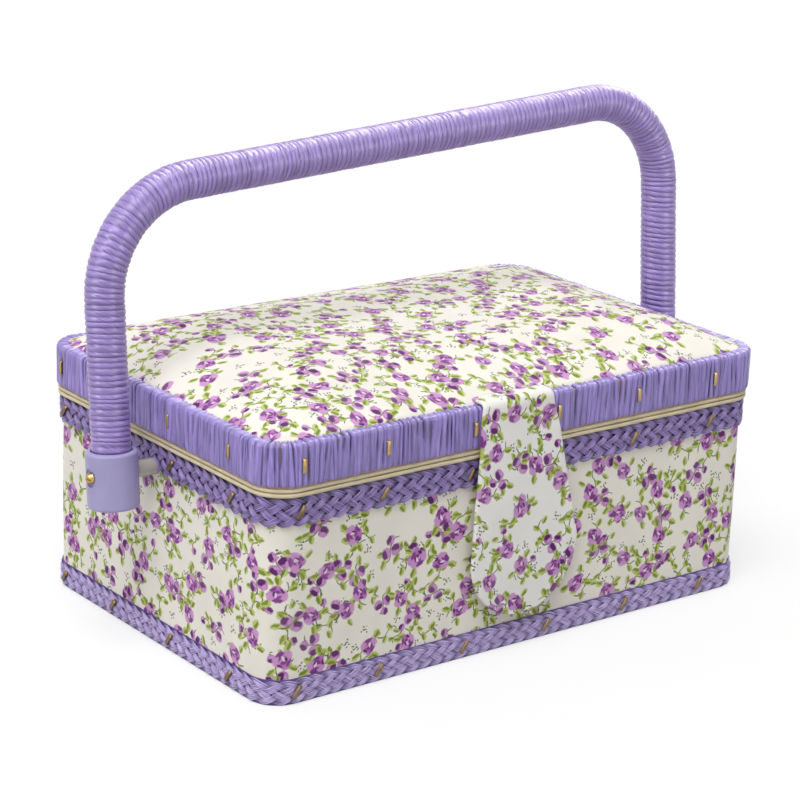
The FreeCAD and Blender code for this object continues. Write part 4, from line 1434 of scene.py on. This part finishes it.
@dataclass
class Lid:
    """The lid: wound rim, padded top, piping, lining and staples."""

    plan: Plan
    overhang: float = 3.0
    back: float = -3.4
    wraps: int = 330
    cushion_edge: float = -1.4
    cushion_corner: float = 12.5
    cushion_shoulder: float = 34.0
    cushion_sink: float = 0.6
    cushion_depth: float = 7.0
    swell_room: float = 0.8
    swell: float = 1.6
    swell_fade: float = 30.0
    pinned: float = 3.0
    pressure: float = 4.0
    frames: int = 20
    rim_rounding: float = 2.0
    lining_corner: float = 7.0
    lining_shoulder: float = 4.0

    def rim(self) -> None:
        """Winds the strip round the hoop.

        Each wrap has five sections, sunk from the rim's face as a half round: by 1 less the root of
        1 - q q, where q runs from -1 to 1 across the wrap. Some joints between wraps open into a slit,
        mostly in the upper half. The wraps slant a little, by chance.
        """
        low, high = levels("rim_winding")
        section = rounded_section((self.back, low), (self.overhang, high), self.rim_rounding)
        out = loop_normals(section)
        chance = np.random.default_rng(11)
        # Uneven wraps that fill the whole way round
        widths = chance.uniform(0.5, 1.5, self.wraps)
        widths *= self.plan.around / widths.sum()
        starts = np.concatenate([[0.0], np.cumsum(widths)[:-1]])
        share = WRAP_PLACES
        run = (starts[:, None] + widths[:, None] * share).ravel()
        level = (section[:, 1] - low) / (high - low)
        # Each slit's middle and half length, as shares of the rim's height, and its depth
        middle = chance.uniform(0.35, 1.0, (self.wraps, 1))
        long = chance.uniform(0.2, 0.6, (self.wraps, 1))
        window = smooth_step((long - np.abs(level - middle)) / 0.25)
        gap = np.maximum(chance.random((self.wraps, 1)) - 0.25, 0) * 2.0 * window
        fall = gap[:, None, :] * SLIT_FALL[:, None]
        rise = np.roll(gap, -1, axis=0)[:, None, :] * SLIT_RISE[:, None]
        shut = (fall + rise).reshape(run.size, -1)
        # The half round of each wrap, flatter in the middle of the rim's face than at its edges
        crest = (1 - np.sqrt(1 - (2 * share - 1) ** 2))[None, :] * chance.uniform(0.4, 1.0, (self.wraps, 1))
        edge = 0.55 + 0.45 * np.abs(2 * level - 1) ** 3
        height = np.repeat(chance.uniform(0.0, 0.3, self.wraps), share.size)[:, None]
        sunk = height + crest.ravel()[:, None] * edge + shut
        # Each wrap's slant, smoothed over its neighbours' sections
        slant = np.repeat(chance.normal(0.0, 0.6, self.wraps), share.size)
        lean = np.convolve(np.concatenate([slant[-3:], slant, slant[:3]]), np.ones(7) / 7, "valid")
        tilt = (section[:, 1] - (low + high) / 2) / (high - low) * 2
        points = self.plan.place(
            run[:, None] + lean[:, None] * tilt[None, :],
            section[None, :, 0] - sunk * out[None, :, 0],
            section[None, :, 1] - sunk * out[None, :, 1],
        )
        u, v = np.meshgrid(np.append(run, self.plan.around), loop_lengths(section), indexing="ij")
        # Slow and quick changes of tone, and painted shade in the joints and slits
        tone = 0.5 + 0.45 * waves(run, self.plan.around, 41, 40, 5)
        tone += np.repeat(chance.uniform(-0.25, 0.25, self.wraps), share.size)
        painted_shade = np.clip(shut * 1.4 + 0.6 * crest.ravel()[:, None], 0, 0.97)
        shades = np.clip(tone, 0, 1)[:, None] + 0 * tilt
        surface = Surface(points, np.stack([u, v], axis=-1), shades, painted_shade, loop_rows=True)
        settle(join("rim_wraps", [surface]), Body.LID, RAFFIA, ["rim_winding"])

    def cushion(self) -> None:
        """Pads the lid's top and lets its cloth swell by a short simulation, held at the edge."""
        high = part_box("lid_cover")[1]
        edge = levels("rim_winding")[1] - self.cushion_sink
        room = self.swell_room
        pad = Pillow(
            self.plan.length / 2 + self.cushion_edge,
            self.plan.width / 2 + self.cushion_edge,
            self.cushion_corner,
            edge - self.cushion_depth,
            edge,
            high.z / MM - edge - room,
            self.cushion_shoulder,
        )
        piece = pad.build("lid_cushion")
        self.inflate(piece, pad)
        settle(piece, Body.LID, PRINT, ["lid_cover", "lid_foam"])

    def inflate(self, piece: bpy.types.Object, pad: Pillow) -> None:
        """Blows the pad up a little: cloth with pressure and no weight, its edge and underside pinned.

        How far a point may move is capped, and its move fades in from the pinned edge.

        Args:
            piece: The pad.
            pad: Its form.
        """
        count = len(piece.data.vertices)
        before = np.empty(count * 3)
        piece.data.vertices.foreach_get("co", before)
        before = before.reshape(-1, 3)
        inside = pad.depth(before[:, :2] / MM)
        free = (inside > self.pinned) & (before[:, 2] / MM > pad.edge)
        pins = piece.vertex_groups.new(name="held")
        pins.add(np.flatnonzero(~free).tolist(), 1.0, "REPLACE")
        cloth = piece.modifiers.new("swell", "CLOTH")
        cloth.settings.vertex_group_mass = "held"
        cloth.settings.use_pressure = True
        cloth.settings.uniform_pressure_force = self.pressure
        cloth.settings.effector_weights.gravity = 0.0
        cloth.settings.quality = 5
        cloth.collision_settings.use_collision = False
        scene = bpy.context.scene
        for step in range(1, self.frames + 1):
            scene.frame_set(step)
        blown = piece.evaluated_get(bpy.context.evaluated_depsgraph_get())
        after = np.empty(count * 3)
        blown.data.vertices.foreach_get("co", after)
        move = after.reshape(-1, 3) - before
        length = np.linalg.norm(move, axis=1, keepdims=True)
        move *= np.minimum(1.0, self.swell * MM / np.maximum(length, 1e-9))
        piece.modifiers.remove(cloth)
        piece.vertex_groups.clear()
        scene.frame_set(1)
        move *= smooth_step(inside / self.swell_fade)[:, None]
        piece.data.vertices.foreach_set("co", (before + move).ravel())
        piece.data.update()
        most = float(np.linalg.norm(move, axis=1).max() / MM)
        log.info("lid_cushion swelled by up to %.2f mm", most)

    def lining(self) -> None:
        """Covers the lid's underside with plain cloth."""
        half_length, half_width, bottom, top = pad_room("lid_lining")
        edge, rise = top - 0.05, 0.04
        pad = Pillow(
            half_length, half_width, self.lining_corner, bottom, edge, rise, self.lining_shoulder, step=4.0
        )
        piece = settle(pad.build("lid_lining_cloth"), Body.LID, LINING, ["lid_lining"])
        size = (2 * half_length * MM, 2 * half_width * MM)

    def staples(self) -> None:
        """Staples the winding to the hoop."""
        blocked = (FLAP_END, (), HINGES, ())
        row = Staples(self.plan, self.overhang, sum(levels("rim_winding")) / 2, 0.0, blocked)
        settle(row.build("rim_staple_wires"), Body.LID, TACK, ["rim_staples"])

    def build(self) -> None:
        """Makes every piece of the lid in order."""
        self.rim()
        self.cushion()
        Piping("lid_piping", "lid_welt", Body.LID, 77).build(self.plan)
        self.lining()
        self.staples()


@dataclass
class Flap:
    """The cloth flap: over the rim, down its face and over the front to a round end."""

    centre: float = -9.5
    lean: float = 5.5
    top_half: float = 17.5
    full_half: float = 27.0
    straight: float = 63.0
    length: float = 90.0
    thickness: float = 1.8
    rim_face: float = -82.5
    rim_top: float = 105.0
    inner_end: float = -76.1
    fold_level: float = 87.7
    fold_out: float = -83.8
    draw_in: float = 0.6
    bow: float = 0.5
    bend: float = 2.1
    ease_start: float = 8.0
    lean_over: float = 14.0
    curl: float = 0.35
    curl_wave: float = 61.0
    least_half: float = 0.95
    fold_reach: float = 2.2
    chart_shift: float = 60.0
    tip: float = 0.9985
    tip_crowding: float = 1.35
    rows: int = 150
    columns: int = 33
    edge_points: int = 5

    @property
    def fixed(self) -> float:
        """The flat length on the rim's top, from the fixed end to the bend."""
        return self.inner_end - self.rim_face - self.bend + self.thickness / 2

    def half_width(self, drop: np.ndarray) -> np.ndarray:
        """Widens evenly to full width, then follows one round arc to the tip.

        Args:
            drop: How far below the rim's top.

        Returns:
            Half the flap's width there.
        """
        depth = self.length - self.straight
        radius = (self.full_half**2 + depth**2) / (2 * depth)
        widening = self.top_half + (self.full_half - self.top_half) * np.clip(drop / self.straight, 0, 1)
        arc = np.sqrt(np.maximum(radius**2 - (drop - self.length + radius) ** 2, 0.0))
        return np.where(drop > self.straight, arc, widening)

    def side(self, path: np.ndarray) -> tuple[np.ndarray, np.ndarray, np.ndarray, np.ndarray]:
        """Follows the flap's middle from side on: out over the rim, round its edge, then down.

        Below the fold it draws in towards the box, with a slight bow.

        Args:
            path: Lengths along the flap from its fixed end.

        Returns:
            How far out and how high the middle is, how far it has dropped, and its heading's angle.
        """
        turn = np.clip((path - self.fixed) / self.bend, 0, math.pi / 2)
        drop = np.maximum(path - self.fixed - math.pi / 2 * self.bend, 0.0)
        level_start = self.rim_top + self.thickness / 2
        out = self.inner_end - np.minimum(path, self.fixed) - self.bend * np.sin(turn)
        level = level_start - self.bend * (1 - np.cos(turn)) - drop
        foot = self.rim_top - self.length
        share = np.clip((self.fold_level - level) / (self.fold_level - foot), 0, 1)
        upper = self.rim_top - self.ease_start
        ease = smooth_step((upper - level) / (upper - self.fold_level))
        hang = (self.fold_out - (self.rim_face - self.thickness / 2)) * ease
        hang += self.draw_in * share - 4 * self.bow * share * (1 - share)
        return out + hang, level, self.rim_top - level, turn

    def build(self) -> None:
        """Carries a flat section with round edges down the path, leaning to one side as it falls."""
        radius = self.thickness / 2
        end = self.fixed + math.pi / 2 * self.bend + self.length - self.bend + radius
        path = end * (1 - (1 - np.linspace(0, self.tip, self.rows)) ** self.tip_crowding)
        out, level, drop, turn = self.side(path)
        half = np.maximum(self.half_width(drop), self.least_half)
        face, rim = np.linspace(-1, 1, self.columns), np.ones(self.edge_points)
        level_face, raised_face = np.zeros(self.columns), np.ones(self.columns)
        rounding = np.linspace(math.pi / 2, -math.pi / 2, self.edge_points + 2)[1:-1]
        across = np.concatenate([face, rim, -face, -rim])
        edge = np.concatenate([level_face, np.cos(rounding), level_face, -np.cos(rounding)])
        raised = np.concatenate([raised_face, np.sin(rounding), -raised_face, -np.sin(rounding)])
        w = across[None, :] * (half - radius)[:, None] + edge[None, :] * radius
        n = raised[None, :] * radius + 0 * w
        curl = self.curl * np.sin(2 * math.pi * path / self.curl_wave)[:, None] * (w / self.full_half) ** 2
        lean = math.radians(self.lean) * smooth_step(drop / self.lean_over)[:, None]
        fall = drop[:, None] + 0 * w
        x = self.centre + w * np.cos(lean) + np.maximum(fall, 0) * np.tan(lean)
        y = out[:, None] - n * np.sin(turn)[:, None] - curl * np.sin(turn)[:, None]
        z = level[:, None] + n * np.cos(turn)[:, None] + w * np.sin(lean)
        u = np.concatenate([w, w[:, :1]], axis=1) + self.chart_shift
        v = np.broadcast_to(path[:, None], u.shape)
        surface = Surface(np.stack([x, y, z], axis=-1), np.stack([u, -v], axis=-1), capped=True)
        cloth = join("flap_cloth", [surface])
        piece = settle(cloth, None, PRINT_WHITE, ["flap_top", "flap_tab"])
        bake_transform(piece)


# A turn's five rings: their places along it, how far each sinks and how much painted shade it takes
TURN_PLACES = np.array([0.0, 0.15, 0.38, 0.62, 0.85])
TURN_SUNK = np.array([1.0, 0.42, 0.06, 0.06, 0.42])
TURN_SHADE = np.array([0.75, 0.18, 0.0, 0.0, 0.18])


@dataclass
class Handle:
    """The bail handle's winding, on the line of legs, bends and bar."""

    half: float = 141.7
    start: float = 2.9
    middle: float = 115.0
    rise: float = 14.0
    left_bend: float = 42.0
    right_bend: float = 38.0
    pivot: float = 73.9
    lean: float = 5.0
    radius: float = 7.9
    groove: float = 0.5
    turns: int = 211
    sides: int = 34
    line_steps: int = 6000
    askew: float = 0.9
    askew_phase: float = 0.9
    ends: float = 6.0
    deepest_shade: float = 0.9

    def line(self) -> tuple[np.ndarray, np.ndarray, np.ndarray, np.ndarray]:
        """Walks the handle's line: the heading turns evenly in each bend, and the steps add up.

        Returns:
            The length, x, height above the pivots and heading angle at many places.
        """
        slope = math.atan2(self.rise, 2 * self.half)
        left = self.left_bend * math.tan((math.pi / 2 - slope) / 2)
        right = self.right_bend * math.tan((math.pi / 2 + slope) / 2)
        legs = [
            self.middle - self.rise / 2 - left - self.start,
            self.left_bend * (math.pi / 2 - slope),
            math.hypot(2 * self.half, self.rise) - left - right,
            self.right_bend * (math.pi / 2 + slope),
            self.middle + self.rise / 2 - right - self.start,
        ]
        knots = np.concatenate([[0.0], np.cumsum(legs)])
        heads = np.array([math.pi / 2, math.pi / 2, slope, slope, -math.pi / 2, -math.pi / 2])
        length = np.linspace(0, knots[-1], self.line_steps + 1)
        heading = np.interp(length, knots, heads)
        middle = (heading[1:] + heading[:-1]) / 2
        step = length[1]
        x = -self.half + np.concatenate([[0.0], np.cumsum(np.cos(middle) * step)])
        z = self.start + np.concatenate([[0.0], np.cumsum(np.sin(middle) * step)])
        return length, x, z, heading

    def build(self) -> None:
        """Winds the strip along the line: five rings to a turn, the first in its groove, all askew."""
        length, x, z, heading = self.line()
        chance = np.random.default_rng(3)
        # Uneven turns that fill the whole line, with grooves of uneven depth
        widths = chance.uniform(0.8, 1.22, self.turns)
        widths *= length[-1] / widths.sum()
        starts = np.concatenate([[0.0], np.cumsum(widths)[:-1]])
        along = np.append((starts[:, None] + widths[:, None] * TURN_PLACES).ravel(), length[-1])
        gap = self.groove * chance.uniform(0.55, 1.3, self.turns)
        sunk = gap[:, None] * TURN_SUNK
        sunk += chance.uniform(0, 0.14, self.turns)[:, None]
        sunk = np.append(sunk.ravel(), self.groove)
        # Painted shade in each turn's groove, deeper where the groove is deeper
        painted_shade = np.append((gap[:, None] / self.groove * TURN_SHADE).ravel(), 0.7)
        # Each turn's tone and how far it runs askew, eased from turn to turn
        rings = len(TURN_PLACES)
        tone = np.append(np.repeat(chance.uniform(0.3, 0.7, self.turns), rings), 0.5)
        askew = np.append(np.repeat(self.askew + chance.normal(0, 0.4, self.turns), rings), self.askew)
        askew = np.convolve(np.pad(askew, 2, mode="edge"), np.ones(5) / 5, "valid")
        ends = smooth_step(along / self.ends) * smooth_step((length[-1] - along) / self.ends)
        around = np.linspace(0, 2 * math.pi, self.sides, endpoint=False)
        where = along[:, None] + (askew * ends)[:, None] * np.cos(around - self.askew_phase)[None, :]
        px, pz = np.interp(where, length, x), np.interp(where, length, z)
        angle = np.interp(where, length, heading)
        reach = (self.radius - sunk)[:, None]
        side = reach * np.cos(around)[None, :]
        lift = reach * np.sin(around)[None, :]
        flat_x = px - lift * np.sin(angle)
        flat_z = pz + lift * np.cos(angle)
        back = math.radians(self.lean)
        points = np.stack(
            [
                flat_x,
                flat_z * math.sin(back) - side * math.cos(back),
                self.pivot + flat_z * math.cos(back) + side * math.sin(back),
            ],
            axis=-1,
        )
        u, v = np.meshgrid(along, np.linspace(0, 2 * math.pi * self.radius, self.sides + 1), indexing="ij")
        grid = np.ones((1, self.sides))
        # The painted shade of the grooves, held under the deepest
        shades, dark = tone[:, None] * grid, np.clip(painted_shade, 0, self.deepest_shade)[:, None] * grid
        surface = Surface(points, np.stack([u, v], axis=-1), shades, dark, capped=True)
        settle(join("handle_wraps", [surface]), Body.HANDLE, RAFFIA_SOFT, ["handle_winding"])


@dataclass(frozen=True)
class Fittings:
    """The solids that stay as they are and get a better finish."""

    finishes: tuple[tuple[Finish, tuple[str, ...]], ...] = (
        (LILAC, ("left_cup", "right_cup")),
        (CLEAR, ("pivot_sleeves",)),
        (CORE, ("handle_core",)),
        (BRASS, ("hinge_lid_leaves", "hinge_box_leaves", "hinge_pins")),
        (BRASS, ("hinge_lid_screws", "hinge_box_screws", "pivot_screws", "pivot_nuts")),
        (STEEL, ("snap_stud", "snap_socket")),
        (BOARD, ("base_panel", "wall_hoop", "lid_board", "lid_frame")),
    )

    def build(self) -> None:
        """Puts each finish on its solids."""
        for finish, names in self.finishes:
            for name in names:
                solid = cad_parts[name]
                for place in solid.material_slots:
                    place.material = material_of(finish)
                log.info("%s: %s", name, type(finish).__name__)


@dataclass
class Studio:
    """A pale floor, a soft sky, four lamps and the camera.

    A lamp has its strength, its width as an angle, whether it lights matt surfaces too, and the
    direction towards it.
    """

    sky: float = 0.56
    fall_off: float = 0.45
    bounce: float = 0.54
    lamps: tuple[tuple[float, float, bool, tuple[float, float, float]], ...] = (
        (1.95, 0.6, True, (-0.32, -0.25, 0.91)),
        (1.6, 0.35, False, (-0.95, 0.05, 0.3)),
        (1.3, 0.35, False, (0.3, -0.92, 0.25)),
        (3.6, 0.7, False, (0.58, 0.37, 0.72)),
    )
    azimuth: float = -37.772
    elevation: float = 17.809
    roll: float = 2.073
    camera_place: tuple[float, float, float] = (-0.6516, -0.8370, 0.4209)
    lens: float = 120.76
    sensor: float = 36.0
    clip: tuple[float, float] = (0.05, 30.0)
    floor_half: float = 6000.0
    floor_points: int = 9
    floor_shades: tuple[float, float] = (0.92, 0.94)
    floor_glow: float = 0.6

    def seen(self, tree: bpy.types.NodeTree) -> bpy.types.NodeSocket:
        """Finds the rays that come straight from the camera or by gloss or glass.

        Args:
            tree: The nodes.

        Returns:
            A socket that is 1 for those rays and 0 for others.
        """
        path = tree.nodes.new("ShaderNodeLightPath")
        either = path.outputs["Is Camera Ray"]
        for label in ("Is Glossy Ray", "Is Transmission Ray"):
            larger = tree.nodes.new("ShaderNodeMath")
            larger.operation = "MAXIMUM"
            tree.links.new(either, larger.inputs[0])
            tree.links.new(path.outputs[label], larger.inputs[1])
            either = larger.outputs[0]
        return either

    def light(self) -> None:
        """Sets the sky, white where it is seen, dimmer to the camera's right, and the lamps.

        The first lamp lights everything, and the others only glint.
        """
        world = bpy.data.worlds.new("studio_sky")
        bpy.context.scene.world = world
        world.use_nodes = True
        tree = world.node_tree
        where = tree.nodes.new("ShaderNodeTexCoord")
        slope = tree.nodes.new("ShaderNodeVectorMath")
        slope.operation = "DOT_PRODUCT"
        across = math.radians(self.azimuth)
        slope.inputs[1].default_value = (math.cos(across), math.sin(across), 0.0)
        tree.links.new(where.outputs["Generated"], slope.inputs[0])
        dim = tree.nodes.new("ShaderNodeMapRange")
        for label, value in (
            ("From Min", -1.0),
            ("To Min", self.sky * (1 + self.fall_off)),
            ("To Max", self.sky * (1 - self.fall_off)),
        ):
            dim.inputs[label].default_value = value
        tree.links.new(slope.outputs["Value"], dim.inputs["Value"])
        strength = tree.nodes.new("ShaderNodeMapRange")
        strength.inputs["To Max"].default_value = 1.0
        tree.links.new(dim.outputs["Result"], strength.inputs["To Min"])
        tree.links.new(self.seen(tree), strength.inputs["Value"])
        ground = tree.nodes["Background"]
        ground.inputs["Color"].default_value = WHITE
        tree.links.new(strength.outputs["Result"], ground.inputs["Strength"])
        for number, (energy, spread, full, direction) in enumerate(self.lamps):
            lamp = bpy.data.lights.new(f"studio_lamp_{number}", "SUN")
            lamp.energy, lamp.angle = energy, spread
            thing = bpy.data.objects.new(lamp.name, lamp)
            thing.visible_diffuse = full
            thing.rotation_euler = (
                math.atan2(math.hypot(direction[0], direction[1]), direction[2]),
                0.0,
                math.atan2(direction[0], -direction[1]),
            )
            bpy.context.scene.collection.objects.link(thing)

    def floor(self) -> None:
        """Lays a wide pale floor that shows nearly white, keeps a soft shadow and throws back less light."""
        edge = np.linspace(-self.floor_half, self.floor_half, self.floor_points)
        x, y = np.meshgrid(edge, edge, indexing="ij")
        points = np.stack([x, y, np.zeros_like(x)], axis=-1)
        surface = Surface(points, points[..., :2], loop_columns=False)
        plane = join("studio_floor", [surface])
        net = Net("studio_floor")
        speckle = net.noise(net.place(), 30.0, 3.0)
        pale = net.mix(speckle, *((shade,) * 3 for shade in self.floor_shades))
        seen = Field(net, self.seen(net.tree))
        net.surface(Base_Color=net.mix(seen, (self.bounce,) * 3, pale), Roughness=0.9, Specular_IOR_Level=0.0)
        glow = net.add("ShaderNodeEmission")
        glow.inputs["Color"].default_value = WHITE
        both = net.add("ShaderNodeMixShader")
        net.feed(both.inputs["Fac"], seen * self.floor_glow)
        net.tree.links.new(net.shader.outputs["BSDF"], both.inputs[1])
        net.tree.links.new(glow.outputs["Emission"], both.inputs[2])
        net.tree.links.new(both.outputs["Shader"], net.output.inputs["Surface"])
        plane.data.materials.append(net.material)

    def camera(self) -> None:
        """Stands the camera where the picture was taken from, with its slight roll."""
        a, e, r = (math.radians(angle) for angle in (self.azimuth, self.elevation, self.roll))
        back = np.array([math.sin(a) * math.cos(e), -math.cos(a) * math.cos(e), math.sin(e)])
        right = np.array([math.cos(a), math.sin(a), 0.0])
        up = np.cross(back, right)
        rolled_right = math.cos(r) * right + math.sin(r) * up
        rolled_up = math.cos(r) * up - math.sin(r) * right
        turned = np.eye(4)
        turned[:3, :3] = np.stack([rolled_right, rolled_up, back], axis=1)
        turned[:3, 3] = self.camera_place
        lens = bpy.data.cameras.new("camera")
        lens.lens, lens.sensor_width, lens.sensor_fit = self.lens, self.sensor, "HORIZONTAL"
        lens.clip_start, lens.clip_end = self.clip
        thing = bpy.data.objects.new("camera", lens)
        thing.matrix_world = Matrix(turned.tolist())
        bpy.context.scene.collection.objects.link(thing)
        bpy.context.scene.camera = thing

    def build(self) -> None:
        """Sets up the studio and plain colour handling."""
        bpy.context.scene.view_settings.view_transform = "Standard"
        self.camera()
        self.light()
        self.floor()


def main() -> None:
    """Builds the studio and every sub-assembly in order."""
    logging.basicConfig(level=logging.INFO, format="%(message)s")
    plan = Plan()
    for assembly in (Studio(), BoxBody(plan), Lid(plan), Flap(), Handle(), Fittings()):
        assembly.build()


if __name__ == "__main__":
    main()
